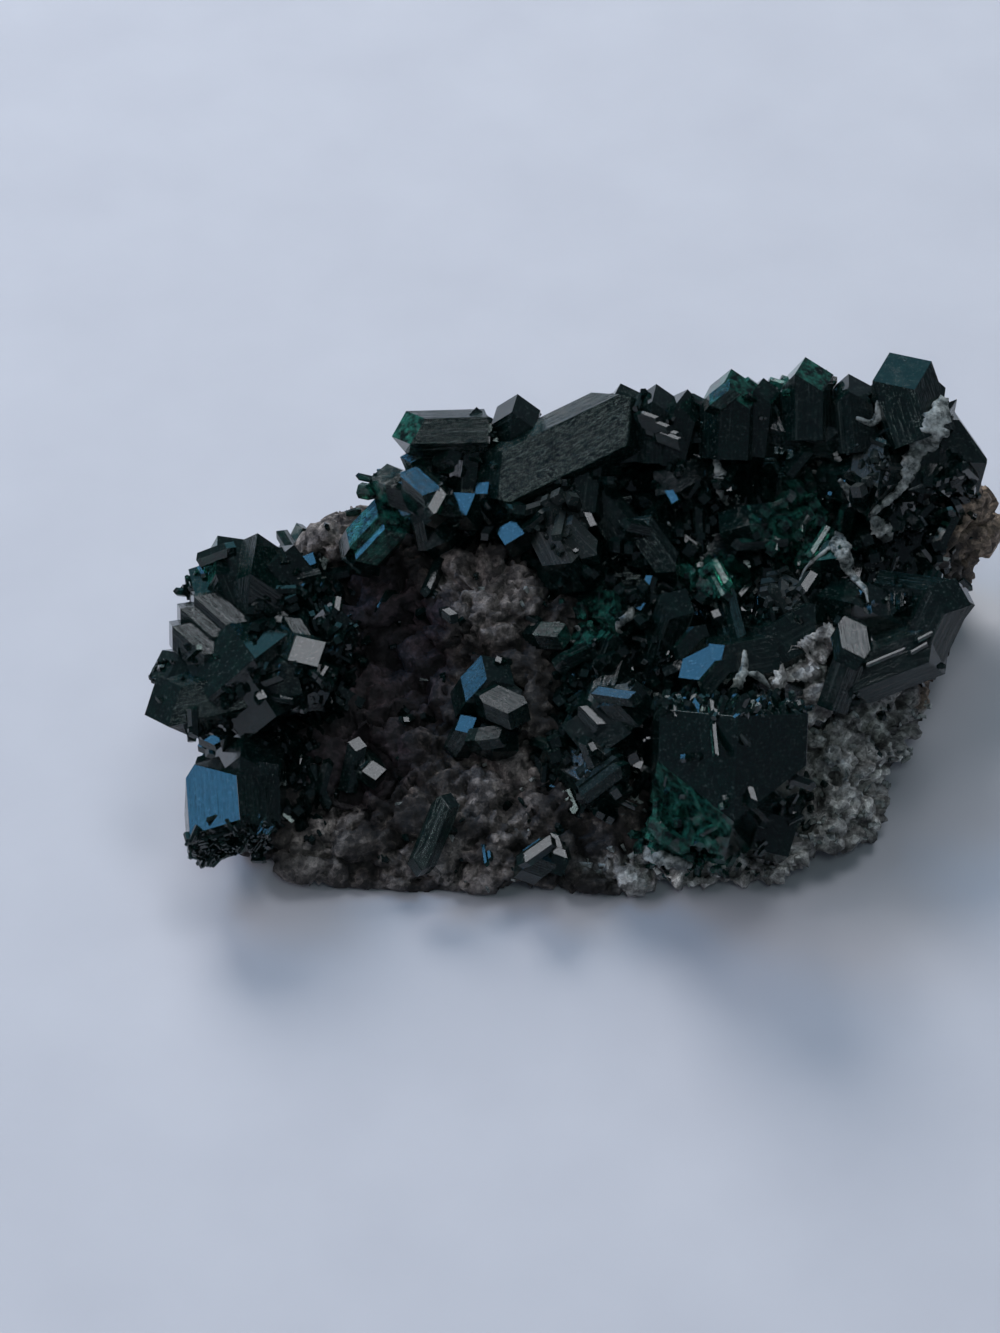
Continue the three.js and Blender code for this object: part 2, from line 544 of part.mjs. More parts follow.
const CLUSTERS = {
  left_lobe_crystals: { crystals: LEFT_LOBE },
  hollow_edge_crystals: { crystals: HOLLOW_EDGE },
  corner_crystals: { crystals: CORNER },
  large_front_crystals: { crystals: [...LARGE_FRONT, ...EMERALD_TUFT] },
  main_crystal_mass: {
    crystals: [...WEST_RIDGE, ...LONG_SLAB, ...TOP_RIDGE, ...MIDDLE, ...RIGHT],
    beds: MAIN_BEDS,
  },
  front_blade_crystal: { crystals: FRONT_BLADE },
  front_leaf_crystals: { crystals: FRONT_LEAVES },
  centre_facet_crystals: { crystals: CENTRE_FACETS },
  back_crystals: { crystals: BACK },
};

// ---- White seams ----

// Calcite filled the cracks between crystals last of all. A seam is a row of lumps along a curve.
function seamSolid({ course, lift, widths, lumps }, grow = 0) {
  const curve = new THREE.CatmullRomCurve3(
    course.map(([u, v]) => new THREE.Vector3(u, v, rockFront(u, v) + lift)),
  );
  const along = new THREE.Vector3();
  return joined(
    Array.from({ length: lumps }, (_, i) => {
      const t = i / (lumps - 1);
      const place = curve.getPoint(t);
      curve.getTangent(t, along);
      const size = THREE.MathUtils.lerp(...widths, t) / 2;
      const lump = new THREE.OctahedronGeometry(1, 0);
      const position = lump.getAttribute("position");
      const p = new THREE.Vector3();
      for (let k = 0; k < position.count; k++) {
        p.fromBufferAttribute(position, k);
        const uneven = 1 + 0.5 * noise.noise(2.1 * p.x + 5 * i, 2.1 * p.y, 2.1 * p.z);
        p.addScaledVector(along, p.dot(along)).multiplyScalar(size * uneven + grow);
        position.setXYZ(k, ...p.add(place).applyMatrix4(display).toArray());
      }
      return solidOf(lump);
    }),
  );
}

const SEAMS = {
  corner_calcite_seam: {
    course: [[33.4, 20.2], [32.2, 17.6], [31.0, 15.4], [30.2, 13.6], [28.6, 11.6], [26.8, 10.1]],
    lift: 4.6,
    widths: [2.4, 1.2],
    lumps: 8,
  },
  upper_calcite_seam: {
    course: [[24.2, 13.0], [25.4, 11.0], [24.8, 8.6], [24.0, 7.4], [24.8, 5.2], [26.0, 2.2]],
    lift: 4.4,
    widths: [1.3, 1.5],
    lumps: 10,
  },
};

// ---- Assembly ----

const specimen = new THREE.Group();
const DIOPTASE = { color: 0x0c3b33, roughness: 0.12, metalness: 0 };
const CALCITE = { color: 0xc9cdc2, roughness: 0.6, metalness: 0 };
const MATRIX = { color: 0x6e6156, roughness: 0.9, metalness: 0 };

const inside = { detail: INNER_DETAIL, rough: 0 };
const trim = floorBlock(LOWEST_CRYSTAL).add(rockShape({ depth: BED_DEPTH, ...inside }));
const deepTrim = rockShape({ depth: BED_DEPTH + 2 * CLEARANCE, ...inside });
const placed = [];
let sockets = null;

// Cuts a piece clear of those before it, and leaves a socket for those after it.
function place(name, finish, parts, grownParts) {
  const whole = joined(parts).subtract(sockets ? trim.add(sockets) : trim);
  const body = largest(whole);
  const kept = grownParts.filter((_, i) => parts[i].intersect(body).volume() > 0.01);
  placed.push({ name, finish, solid: body });
  sockets = sockets ? joined([sockets, ...kept]) : joined(kept);
}

for (const [name, seam] of Object.entries(SEAMS)) {
  place(name, CALCITE, [seamSolid(seam)], [seamSolid(seam, 2 * CLEARANCE)]);
}
for (const [name, { crystals, beds }] of Object.entries(CLUSTERS)) {
  const parts = (grow) => [
    ...crystals.map((crystal) => crystalSolid(crystal, grow)),
    ...(beds ? [crustSolid(beds, grow)] : []),
  ];
  place(name, DIOPTASE, parts(0), parts(2 * CLEARANCE));
}
const rock = rockShape({ bedded: true }).subtract(floorBlock(0)).subtract(sockets.subtract(deepTrim));
placed.push({ name: "matrix_rock", finish: MATRIX, solid: largest(rock) });

for (const { name, finish, solid } of placed) {
  const mesh = new THREE.Mesh(geometryOf(solid), new THREE.MeshStandardMaterial(finish));
  mesh.name = name;
  specimen.add(mesh);
}

const bounds = new THREE.Box3().setFromObject(specimen);
const centre = bounds.getCenter(new THREE.Vector3());
specimen.position.set(-centre.x, -centre.y, 0);

export default specimen;
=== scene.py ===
"""Dioptase specimen: dark green dioptase crystals grown over a wedge of brown matrix rock, with
seams of white calcite. The rock's trimmed underside lies on the floor."""

import math
import random

import bmesh
import bpy
from mathutils import Matrix, Vector, noise
from mathutils.bvhtree import BVHTree


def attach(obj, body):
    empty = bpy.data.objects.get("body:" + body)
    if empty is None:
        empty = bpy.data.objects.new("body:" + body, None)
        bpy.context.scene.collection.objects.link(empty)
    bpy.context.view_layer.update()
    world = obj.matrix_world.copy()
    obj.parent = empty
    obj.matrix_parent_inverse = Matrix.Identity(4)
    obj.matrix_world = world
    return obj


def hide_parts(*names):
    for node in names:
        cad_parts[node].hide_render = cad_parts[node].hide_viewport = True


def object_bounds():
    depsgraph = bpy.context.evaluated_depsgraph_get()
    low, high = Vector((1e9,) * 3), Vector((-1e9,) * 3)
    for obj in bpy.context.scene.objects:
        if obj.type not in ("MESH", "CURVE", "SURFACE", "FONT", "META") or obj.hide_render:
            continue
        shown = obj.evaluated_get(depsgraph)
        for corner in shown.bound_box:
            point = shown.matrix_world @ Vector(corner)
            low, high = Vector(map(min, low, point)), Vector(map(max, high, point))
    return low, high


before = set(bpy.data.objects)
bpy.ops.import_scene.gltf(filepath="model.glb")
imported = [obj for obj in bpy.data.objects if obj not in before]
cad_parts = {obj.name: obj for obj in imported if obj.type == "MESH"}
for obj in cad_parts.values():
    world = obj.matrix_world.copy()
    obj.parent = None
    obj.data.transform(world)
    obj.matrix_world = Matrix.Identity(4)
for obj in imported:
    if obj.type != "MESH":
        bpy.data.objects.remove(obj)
cad_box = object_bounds()
MM = 0.001

# ---- Camera ----
# The specimen is looked at square on to its display plane, which leans back from upright. On that
# plane u runs to the right, v up it and w out of it, and places on the specimen are given so.

DISPLAY_LEAN = math.radians(45)
DISPLAY_ORIGIN = Vector((-1.487, 12.658, 0)) * MM
CAMERA_AIM = Vector((-6.48, -3.645, 17)) * MM
CAMERA_REACH = 360 * MM
LENS = 108
CLIP_START = 10 * MM

rise, run = math.sin(DISPLAY_LEAN), math.cos(DISPLAY_LEAN)
display = Matrix.Translation(DISPLAY_ORIGIN) @ Matrix(
    ((1, 0, 0, 0), (0, rise, -run, 0), (0, run, rise, 0), (0, 0, 0, 1))
)
to_display = display.inverted()
away = Matrix.Translation(CAMERA_AIM + Vector((0, 0, CAMERA_REACH)))

camera = bpy.data.objects.new("camera", bpy.data.cameras.new("camera"))
camera.data.lens = LENS
camera.data.clip_start = CLIP_START
camera.matrix_world = display @ away
bpy.context.collection.objects.link(camera)
bpy.context.scene.camera = camera


# ---- Large crystals ----
# Dioptase, a copper silicate: short hexagonal prisms capped by three rhombs. The prisms carry fine
# growth lines along their length. They grew from the rock, and those that met grew together.

GROWTH_LINE_SPACING = 0.28 * MM
NARROW_FACE = 0.95 * MM
WORN_EDGE = 0.05 * MM
SHORTEST_WORN = 6 * WORN_EDGE
SHARP_ANGLE = 0.4
FLAT_ANGLE = math.radians(0.5)
MERGE_REACH = 0.001 * MM
LINED_FROM = 1.15  # length over width
NARROW_LINES = 0.15
# the faint painted teal glow that every crystal face carries
FAINT_TEAL = 0.05
ETCHED = 0.45
DULLED = 0.18
ETCHED_PATCHES = [
    (26.6, 14.4, 2.0, 2.4),
    (18.8, 3.2, 2.0, 2.0),
    (-1.1, 9.4, 2.4, 3.0),
    (13.9, -9.9, 1.0, 1.0),
]
DULLED_PATCHES = [
    (-5.9, -6.7, 2.2, 1.6),
    (-2.1, -0.5, 2.0, 1.2),
    (-7.5, -9.7, 1.9, 1.2),
    (3.7, -6.0, 2.0, 1.2),
    (1.2, -12.7, 2.5, 2.5),
]
# Patches where the crystal colour is painted teal, as a painted glow of light shining through thin
# crystal.
TEAL_PATCHES = [
    (20.6, 22.3, 2.4, 2.2),
    (20.5, 8.8, 3.2, 3.2),
    (-15.0, 17.6, 2.6, 1.8),
    (-17.2, 9.6, 2.4, 3.0),
    (9.5, -18.8, 4.6, 3.6),
    (-33.5, 5.2, 1.6, 1.0),
    (14.5, 21.5, 2.0, 1.2),
    (1.0, 0.5, 3.0, 2.0),
    (12.5, 4.5, 3.0, 1.6),
]
CLUSTERS = {
    "main_crystal_mass": "main_dioptase",
    "left_lobe_crystals": "left_lobe_dioptase",
    "large_front_crystals": "large_front_dioptase",
    "corner_crystals": "corner_dioptase",
    "centre_facet_crystals": "centre_dioptase",
    "hollow_edge_crystals": "hollow_edge_dioptase",
    "front_blade_crystal": "front_blade_dioptase",
    "front_leaf_crystals": "front_leaf_dioptase",
    "back_crystals": "back_dioptase",
}


def linear(code):
    """An sRGB hex colour as linear RGBA."""
    parts = [int(code[i : i + 2], 16) / 255 for i in (1, 3, 5)]
    return [c / 12.92 if c <= 0.04045 else ((c + 0.055) / 1.055) ** 2.4 for c in parts] + [1]


def node(material, kind, inputs=None, **settings):
    """Adds a node, with its settings, and its inputs as values or as the sockets that feed them."""
    made = material.node_tree.nodes.new(kind)
    for name, value in settings.items():
        setattr(made, name, value)
    for name, value in (inputs or {}).items():
        if isinstance(value, bpy.types.NodeSocket):
            material.node_tree.links.new(value, made.inputs[name])
        else:
            made.inputs[name].default_value = value
    return made


def new_material(name):
    material = bpy.data.materials.new(name)
    material.use_nodes = True
    material.node_tree.nodes.clear()
    return material


def in_ovals(flat, ovals):
    """How far out a place on the display plane lies in the nearest of some ovals: 1 is its edge."""
    return min(math.hypot((flat.x - u) / across, (flat.y - v) / up) for u, v, across, up in ovals)


def mark_growth(bm):
    """Lays each face out on the UV map along its longest edge, and notes how long and thin it is, how
    much painted teal glow it carries, and whether it is etched dull."""
    growth = bm.loops.layers.uv.new("growth")
    groove = bm.faces.layers.float.new("groove")
    teal = bm.faces.layers.float.new("teal")
    etched = bm.faces.layers.float.new("etched")
    for face in bm.faces:
        flat = to_display @ face.calc_center_median() / MM
        face[teal] = min(1, max(FAINT_TEAL, 2.2 - 1.6 * in_ovals(flat, TEAL_PATCHES)))
        dull = ETCHED * (in_ovals(flat, ETCHED_PATCHES) < 1)
        face[etched] = dull + DULLED * (in_ovals(flat, DULLED_PATCHES) < 1)
        longest = max(face.edges, key=lambda edge: edge.calc_length())
        along = (longest.verts[1].co - longest.verts[0].co).normalized()
        across = face.normal.cross(along)
        shift = Vector((noise.noise(face.normal * 40), noise.noise(along * 37)))
        spans = []
        for loop in face.loops:
            place = Vector((loop.vert.co.dot(across), loop.vert.co.dot(along)))
            loop[growth].uv = place + shift
            spans.append(place)
        wide = max(p.x for p in spans) - min(p.x for p in spans)
        tall = max(p.y for p in spans) - min(p.y for p in spans)
        lined = min(1, max(0, tall / max(wide, 1e-6) - LINED_FROM))
        face[groove] = lined * (1 if wide > NARROW_FACE else NARROW_LINES)


def finished(name, bm, material):
    """Turns a bmesh into a piece that rides on the specimen."""
    mesh = bpy.data.meshes.new(name)
    bm.to_mesh(mesh)
    bm.free()
    mesh.materials.append(material)
    piece = bpy.data.objects.new(name, mesh)
    bpy.context.collection.objects.link(piece)
    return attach(piece, "root")


def merged_copy(name):
    """A CAD node's surface with its loose triangles merged."""
    bm = bmesh.new()
    bm.from_mesh(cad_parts[name].data)
    bmesh.ops.remove_doubles(bm, verts=bm.verts, dist=MERGE_REACH)
    return bm


# Dioptase is clear, and soaks up red and then blue within a millimetre: emerald at thin edges and
# nearly black where it is thick. Its faces are glassy, with pale grooves along the prisms. A faint
# teal, strong in a few patches and broken up by noise, is mixed into the colour as a painted glow of
# light shining through thin crystal. The grooves are drawn coarser than real ones, so that they show.
dioptase = new_material("dioptase_crystal")
map_growth = node(dioptase, "ShaderNodeUVMap", uv_map="growth")
stretch = node(
    dioptase,
    "ShaderNodeMapping",
    {
        "Vector": map_growth.outputs["UV"],
        "Scale": (1 / GROWTH_LINE_SPACING, 0.03 / GROWTH_LINE_SPACING, 1),
    },
)
lines = node(
    dioptase,
    "ShaderNodeTexNoise",
    {"Vector": stretch.outputs["Vector"], "Scale": 1.0, "Detail": 4.0, "Roughness": 0.65},
)
groove = node(dioptase, "ShaderNodeAttribute", attribute_name="groove")
line_bump = node(
    dioptase,
    "ShaderNodeBump",
    {"Strength": groove.outputs["Fac"], "Distance": 0.09 * MM, "Height": lines.outputs["Fac"]},
)
place = node(dioptase, "ShaderNodeTexCoord")
dents = node(
    dioptase,
    "ShaderNodeTexNoise",
    {"Vector": place.outputs["Object"], "Scale": 1 / (1.2 * MM), "Detail": 5.0, "Roughness": 0.6},
)
face_bump = node(
    dioptase,
    "ShaderNodeBump",
    {
        "Strength": 0.3,
        "Distance": 0.06 * MM,
        "Height": dents.outputs["Fac"],
        "Normal": line_bump.outputs["Normal"],
    },
)
dullness = node(
    dioptase,
    "ShaderNodeMapRange",
    {"Value": dents.outputs["Fac"], "From Min": 0.35, "From Max": 0.7, "To Min": 0.04, "To Max": 0.17},
)
etching = node(dioptase, "ShaderNodeAttribute", attribute_name="etched")
roughness = node(
    dioptase,
    "ShaderNodeMath",
    {0: dullness.outputs["Result"], 1: etching.outputs["Fac"]},
    operation="ADD",
)
# Painted glow: teal mixed into the base colour where light would shine through thin crystal.
teal = node(dioptase, "ShaderNodeAttribute", attribute_name="teal")
glow_mottle = node(
    dioptase,
    "ShaderNodeTexNoise",
    {"Vector": place.outputs["Object"], "Scale": 1 / (0.9 * MM), "Detail": 6.0, "Roughness": 0.7},
)
glow_spread = node(
    dioptase,
    "ShaderNodeMapRange",
    {"Value": glow_mottle.outputs["Fac"], "From Min": 0.42, "From Max": 0.64, "To Min": 0.0, "To Max": 1.0},
)
painted_glow = node(
    dioptase,
    "ShaderNodeMath",
    {0: glow_spread.outputs["Result"], 1: teal.outputs["Fac"]},
    operation="MULTIPLY",
)
body = node(
    dioptase,
    "ShaderNodeMix",
    {0: painted_glow.outputs["Value"], 6: linear("#14302e"), 7: linear("#5cd0b6")},
    data_type="RGBA",
)
ridges = node(
    dioptase,
    "ShaderNodeMapRange",
    {"Value": lines.outputs["Fac"], "From Min": 0.56, "From Max": 0.7, "To Min": 0.0, "To Max": 0.42},
)
ridge = node(
    dioptase,
    "ShaderNodeMath",
    {0: ridges.outputs["Result"], 1: groove.outputs["Fac"]},
    operation="MULTIPLY",
)
fine_dirt = node(
    dioptase,
    "ShaderNodeTexNoise",
    {"Vector": place.outputs["Object"], "Scale": 1 / (0.3 * MM), "Detail": 3.0, "Roughness": 0.6},
)
flecks = node(
    dioptase,
    "ShaderNodeMapRange",
    {
        "Value": fine_dirt.outputs["Fac"],
        "From Min": 0.58,
        "From Max": 0.7,
        "To Min": 0.0,
        "To Max": 0.38,
    },
)
pale = node(
    dioptase,
    "ShaderNodeMath",
    {0: ridge.outputs["Value"], 1: flecks.outputs["Result"]},
    operation="MAXIMUM",
)
lined = node(
    dioptase,
    "ShaderNodeMix",
    {0: pale.outputs["Value"], 6: body.outputs[2], 7: linear("#b9cdc6")},
    data_type="RGBA",
)
glassy = node(
    dioptase,
    "ShaderNodeBsdfPrincipled",
    {
        "Base Color": lined.outputs[2],
        "IOR": 1.66,
        "Specular Tint": (0.62, 0.62, 0.62, 1),
        "Transmission Weight": 0.82,
        "Roughness": roughness.outputs["Value"],
        "Normal": face_bump.outputs["Normal"],
    },
)
depth = node(dioptase, "ShaderNodeVolumeAbsorption", {"Color": linear("#24a38c"), "Density": 1800})
node(
    dioptase,
    "ShaderNodeOutputMaterial",
    {"Surface": glassy.outputs["BSDF"], "Volume": depth.outputs["Volume"]},
)

for cad_node, name in CLUSTERS.items():
    bm = merged_copy(cad_node)
    bmesh.ops.dissolve_limit(bm, angle_limit=FLAT_ANGLE, verts=bm.verts, edges=bm.edges)
    clean = {
        vert
        for vert in bm.verts
        if len(vert.link_edges) == 3 and all(edge.is_convex for edge in vert.link_edges)
    }
    corners = [
        edge
        for edge in bm.edges
        if clean.issuperset(edge.verts)
        and edge.calc_length() > SHORTEST_WORN
        and edge.calc_face_angle() > SHARP_ANGLE
    ]
    bmesh.ops.bevel(
        bm,
        geom=corners,
        offset=WORN_EDGE,
        offset_type="OFFSET",
        affect="EDGES",
        segments=1,
        profile=0.5,
        material=-1,
        clamp_overlap=True,
    )
    mark_growth(bm)
    piece = finished(name, bm, dioptase)
    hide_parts(cad_node)


# ---- Matrix rock ----
# The weathered rock that the crystals grew on: brown and granular, stained with iron in its hollow and
# darkened there with painted shade, and grey-white and pitted with vugs at the right. It is broken to
# shape and flat underneath.

ROCK_GRAIN = 0.34 * MM
LUMP_SIZE = 5.0 * MM
BLOCK_SIZE = 2.9 * MM
GRAIN_SIZE = 1.2 * MM
PIT_SIZE = 1.5 * MM
CRUMB_SIZE = 0.75 * MM
BEND_SIZE = 1.6 * MM
BEND = 0.5 * MM
CRACK_WIDTH = 0.3
PIT_DEPTH = 2.4
HIGHEST_LUMP = 0.7
SURFACE_SINK = 0.5
RESTING_HEIGHT = 1.2 * MM
ZONE_END = 1.25
ZONE_EDGE = 0.5
ROCK_ZONES = {
    "pale": [(24.5, -10.5, 7.5, 9.0), (13.5, -21.8, 12.0, 2.4), (20.5, -3.0, 3.0, 2.0)],
    "pink": [
        (-8.0, 2.6, 5.0, 4.0),
        (-6.5, -13.5, 4.5, 5.5),
        (-22.4, 8.6, 4.2, 2.8),
        (-22.2, -19.0, 2.2, 3.2),
        (-14.8, -21.5, 1.8, 1.6),
        (-10.0, -21.8, 4.4, 1.8),
    ],
    # the hollow, whose colour is darkened as painted shade
    "hollow": [(-16.2, -1.5, 5.2, 8.5), (-20.0, -12.0, 6.0, 4.0)],
    "rust": [(37.5, 9.5, 3.2, 5.0), (33.0, -5.0, 1.8, 3.0)],
}
BLADE_SEAT = [(-12.6, -18.8, 2.2, 3.8)]
SEAT_HEIGHT = 0.3 * MM


def zone_at(place, ovals):
    """How far a place lies in a zone, from 0 to 1, on the display plane. The zone's edge wanders."""
    flat = to_display @ place / MM
    sway = 2.2 * noise.noise(place / (4 * MM)) + 0.8 * noise.noise(place / (1.1 * MM))
    out = in_ovals(flat + Vector((sway, sway, 0)), ovals)
    return min(1, max(0, (ZONE_END - out) / ZONE_EDGE))


noise.seed_set(3)


def broken(place, size, tilt):
    """Height of a surface broken into flat facets of about one size, and how close to a crack it is."""
    near, middles, *_ = noise.voronoi(place / size)
    lean = noise.noise_vector(middles[0] * 5.3 + Vector((4, 1, 7)))
    crack = min(1, (near[1] - near[0]) / CRACK_WIDTH)
    return tilt * lean.dot(place / size - middles[0]) * size / MM, crack


def rock_relief(place, pale, pink):
    """Height of the rock's own lumps and pits at a place, and how deep in a crevice or pit it lies: the
    rock's colour is darkened there as painted shade.
    """
    bent = place + BEND * noise.noise_vector(place / BEND_SIZE)
    lump = 0.7 * noise.fractal(place / LUMP_SIZE, 0.9, 2.1, 3)
    block, block_crack = broken(bent, BLOCK_SIZE, 1.5)
    grain, grain_crack = broken(bent, GRAIN_SIZE, 1.6)
    pit = min(0, noise.noise(place / PIT_SIZE + Vector((2, 9, 4))) + 0.05)
    crumb = 0.3 * noise.fractal(place / CRUMB_SIZE, 0.9, 2.0, 2)
    height = lump + block + 0.5 * block_crack + grain + (0.25 + 0.15 * pink) * grain_crack + crumb
    crevice = 1 - (0.35 + 0.65 * block_crack) * (0.4 + 0.6 * grain_crack) * (1 + pale * 1.6 * pit)
    crest = min(HIGHEST_LUMP, height + pale * PIT_DEPTH * pit - SURFACE_SINK)
    return crest * MM, min(1, max(0, crevice))


bm = merged_copy("matrix_rock")
solid = finished("matrix", bm, new_material("rough"))
remesh = solid.modifiers.new("grain", "REMESH")
remesh.mode = "VOXEL"
remesh.voxel_size = ROCK_GRAIN
fine = bpy.data.meshes.new_from_object(solid.evaluated_get(bpy.context.evaluated_depsgraph_get()))
bpy.data.objects.remove(solid)

bm = bmesh.new()
bm.from_mesh(fine)
bmesh.ops.smooth_vert(bm, verts=bm.verts, factor=0.5, use_axis_x=True, use_axis_y=True, use_axis_z=True)
zones = {name: bm.verts.layers.float.new(name) for name in ROCK_ZONES}
crevices = bm.verts.layers.float.new("crevice")
bm.normal_update()
for vert in bm.verts:
    for name, ovals in ROCK_ZONES.items():
        vert[zones[name]] = zone_at(vert.co, ovals)
    resting = min(1, max(0, vert.co.z / RESTING_HEIGHT - 0.1))
    height, vert[crevices] = rock_relief(vert.co, vert[zones["pale"]], vert[zones["pink"]])
    height += max(0, SEAT_HEIGHT - height) * zone_at(vert.co, BLADE_SEAT)
    vert.co += vert.normal * height * resting
    vert.co.z = max(vert.co.z, 0)

# Weathered, iron-stained rock: dull, mottled from near black to brown-grey, with a sandy grain. Clean
# quartz and calcite show pale in it.
rock = new_material("weathered_matrix_rock")
place = node(rock, "ShaderNodeTexCoord")
patches = node(
    rock,
    "ShaderNodeTexNoise",
    {"Vector": place.outputs["Object"], "Scale": 1 / (2.2 * MM), "Detail": 8.0, "Roughness": 0.75},
)
grains = node(
    rock,
    "ShaderNodeTexVoronoi",
    {"Vector": place.outputs["Object"], "Scale": 1 / (0.6 * MM), "Randomness": 1.0},
)
sand = node(
    rock,
    "ShaderNodeTexNoise",
    {"Vector": place.outputs["Object"], "Scale": 1 / (0.35 * MM), "Detail": 4.0, "Roughness": 0.7},
)
tone = node(rock, "ShaderNodeValToRGB", {"Fac": patches.outputs["Fac"]})
ramp = tone.color_ramp
ramp.elements[0].position, ramp.elements[0].color = 0.36, linear("#151314")
ramp.elements[1].position, ramp.elements[1].color = 0.7, linear("#69615a")
ramp.elements.new(0.52).color = linear("#37322f")
colour = tone.outputs["Color"]
ZONE_COLOURS = {
    "pale": ("#4c4946", "#e2dfd8"),
    "pink": ("#2a2627", "#938a83"),
    # the hollow: its iron stain, darkened further as painted shade
    "hollow": ("#130f12", "#3f3336"),
    "rust": ("#4a3e36", "#b09a86"),
}
contrast = node(
    rock,
    "ShaderNodeMapRange",
    {"Value": patches.outputs["Fac"], "From Min": 0.33, "From Max": 0.66, "To Min": 0.0, "To Max": 1.0},
)
for name, (dark, light) in ZONE_COLOURS.items():
    share = node(rock, "ShaderNodeAttribute", attribute_name=name)
    own = node(
        rock,
        "ShaderNodeMix",
        {0: contrast.outputs["Result"], 6: linear(dark), 7: linear(light)},
        data_type="RGBA",
    )
    colour = node(
        rock, "ShaderNodeMix", {0: share.outputs["Fac"], 6: colour, 7: own.outputs[2]}, data_type="RGBA"
    ).outputs[2]
speckle = node(
    rock,
    "ShaderNodeMapRange",
    {"Value": sand.outputs["Fac"], "From Min": 0.3, "From Max": 0.7, "To Min": 0.45, "To Max": 1.5},
)
grain_tones = node(
    rock,
    "ShaderNodeMapRange",
    {"Value": grains.outputs["Color"], "From Min": 0.2, "From Max": 0.8, "To Min": 0.5, "To Max": 1.5},
)
tones = node(
    rock,
    "ShaderNodeMath",
    {0: speckle.outputs["Result"], 1: grain_tones.outputs["Result"]},
    operation="MULTIPLY",
)
sanded = node(
    rock,
    "ShaderNodeMix",
    {0: 1.0, 6: colour, 7: tones.outputs["Value"]},
    data_type="RGBA",
    blend_type="MULTIPLY",
)
# Painted shade: the colour darkens towards near black in the rock's crevices and pits.
crevice = node(rock, "ShaderNodeAttribute", attribute_name="crevice")
crevice_shade = node(
    rock,
    "ShaderNodeMapRange",
    {
        "Value": crevice.outputs["Fac"],
        "From Min": 0.25,
        "From Max": 0.95,
        "To Min": 0.0,
        "To Max": 0.85,
    },
)
shaded = node(
    rock,
    "ShaderNodeMix",
    {0: crevice_shade.outputs["Result"], 6: sanded.outputs[2], 7: linear("#14100f")},
    data_type="RGBA",
)
grain_bump = node(
    rock,
    "ShaderNodeBump",
    {"Strength": 0.7, "Distance": 0.12 * MM, "Height": grains.outputs["Distance"]},
)
rock_bump = node(
    rock,
    "ShaderNodeBump",
    {
        "Strength": 0.8,
        "Distance": 0.1 * MM,
        "Height": sand.outputs["Fac"],
        "Normal": grain_bump.outputs["Normal"],
    },
)
stone = node(
    rock,
    "ShaderNodeBsdfPrincipled",
    {"Base Color": shaded.outputs[2], "Roughness": 0.8, "Normal": rock_bump.outputs["Normal"]},
)
node(rock, "ShaderNodeOutputMaterial", {"Surface": stone.outputs["BSDF"]})

matrix = finished("matrix_body", bm, rock)
matrix.data.shade_smooth()
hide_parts("matrix_rock")


# ---- Calcite seams ----
# White calcite, grained and waxy, that filled the cracks between crystals last of all, from side to
# side. The pale ridge laid in the same way is the rock itself, which stands up between crystals.

SEAM_STEP = 0.16
SEAM_CROWN = 0.15
SEAM_DEPTH = 0.8
SEAM_ROWS = 8
SEAM_RISE = 0.7
SEAM_SINK = 0.05
FACE_ORDER = Vector((1, 0.618, 0.327))
RIDGE_DEPTH = 2.5
RIDGE_PALE = 0.85
RIDGE_PITTED = 0.6
RIDGE_RELIEF = 0.5
SEAMS = {
    # u, v, width along each seam
    "corner_calcite": (
        [(33.2, 20.4, 0.7), (32.5, 18.6, 2.2), (32.0, 17.0, 2.1), (31.0, 15.6, 1.5), (30.3, 14.4, 1.7),
         (30.0, 13.2, 0.8), (29.2, 12.1, 0.8), (28.0, 11.0, 0.7), (26.8, 10.0, 0.5)],
    ),
    "upper_calcite": (
        [(23.9, 13.1, 0.3), (24.9, 12.0, 0.8), (25.3, 10.8, 0.9), (24.6, 9.4, 0.6), (24.1, 8.2, 0.9),
         (24.0, 6.9, 1.8), (24.5, 5.4, 1.0), (25.2, 4.2, 0.6), (25.9, 3.2, 0.4), (26.2, 2.0, 0.15)],
        [(26.8, 10.0, 0.5), (27.7, 9.0, 1.7), (28.4, 8.3, 1.4), (27.8, 7.4, 0.5)],
        [(27.8, 7.8, 0.3), (28.4, 6.9, 0.4), (28.0, 6.0, 0.35), (26.9, 5.5, 0.2)],
        [(23.8, 7.6, 0.4), (22.5, 6.6, 0.35), (21.2, 5.5, 0.3), (20.3, 4.0, 0.15)],
    ),
    "thin_calcite": (
        [(12.8, 15.2, 0.3), (13.3, 13.6, 0.9), (13.4, 12.0, 0.6), (14.4, 10.6, 0.3)],
        [(15.0, -2.2, 0.3), (14.9, -3.8, 0.7), (14.4, -5.0, 0.9), (13.6, -6.2, 0.3)],
        [(5.2, 2.0, 0.4), (4.9, 0.9, 0.8), (4.0, -0.2, 0.5), (4.9, -0.9, 0.2)],
        [(27.4, 20.2, 0.3), (27.4, 18.9, 0.7), (26.8, 18.2, 0.6), (25.4, 18.6, 0.3)],
        [(10.8, 5.8, 0.3), (12.0, 5.4, 0.6), (13.2, 5.9, 0.3)],
        [(15.2, -4.2, 0.2), (16.2, -4.5, 0.6), (17.3, -5.5, 0.2)],
        [(5.8, -19.4, 0.4), (7.0, -20.2, 1.3), (8.6, -20.7, 1.2), (10.4, -21.1, 0.4)],
        [(30.2, 12.2, 0.1), (31.8, 12.8, 0.3), (33.6, 13.4, 0.1)],
    ),
}
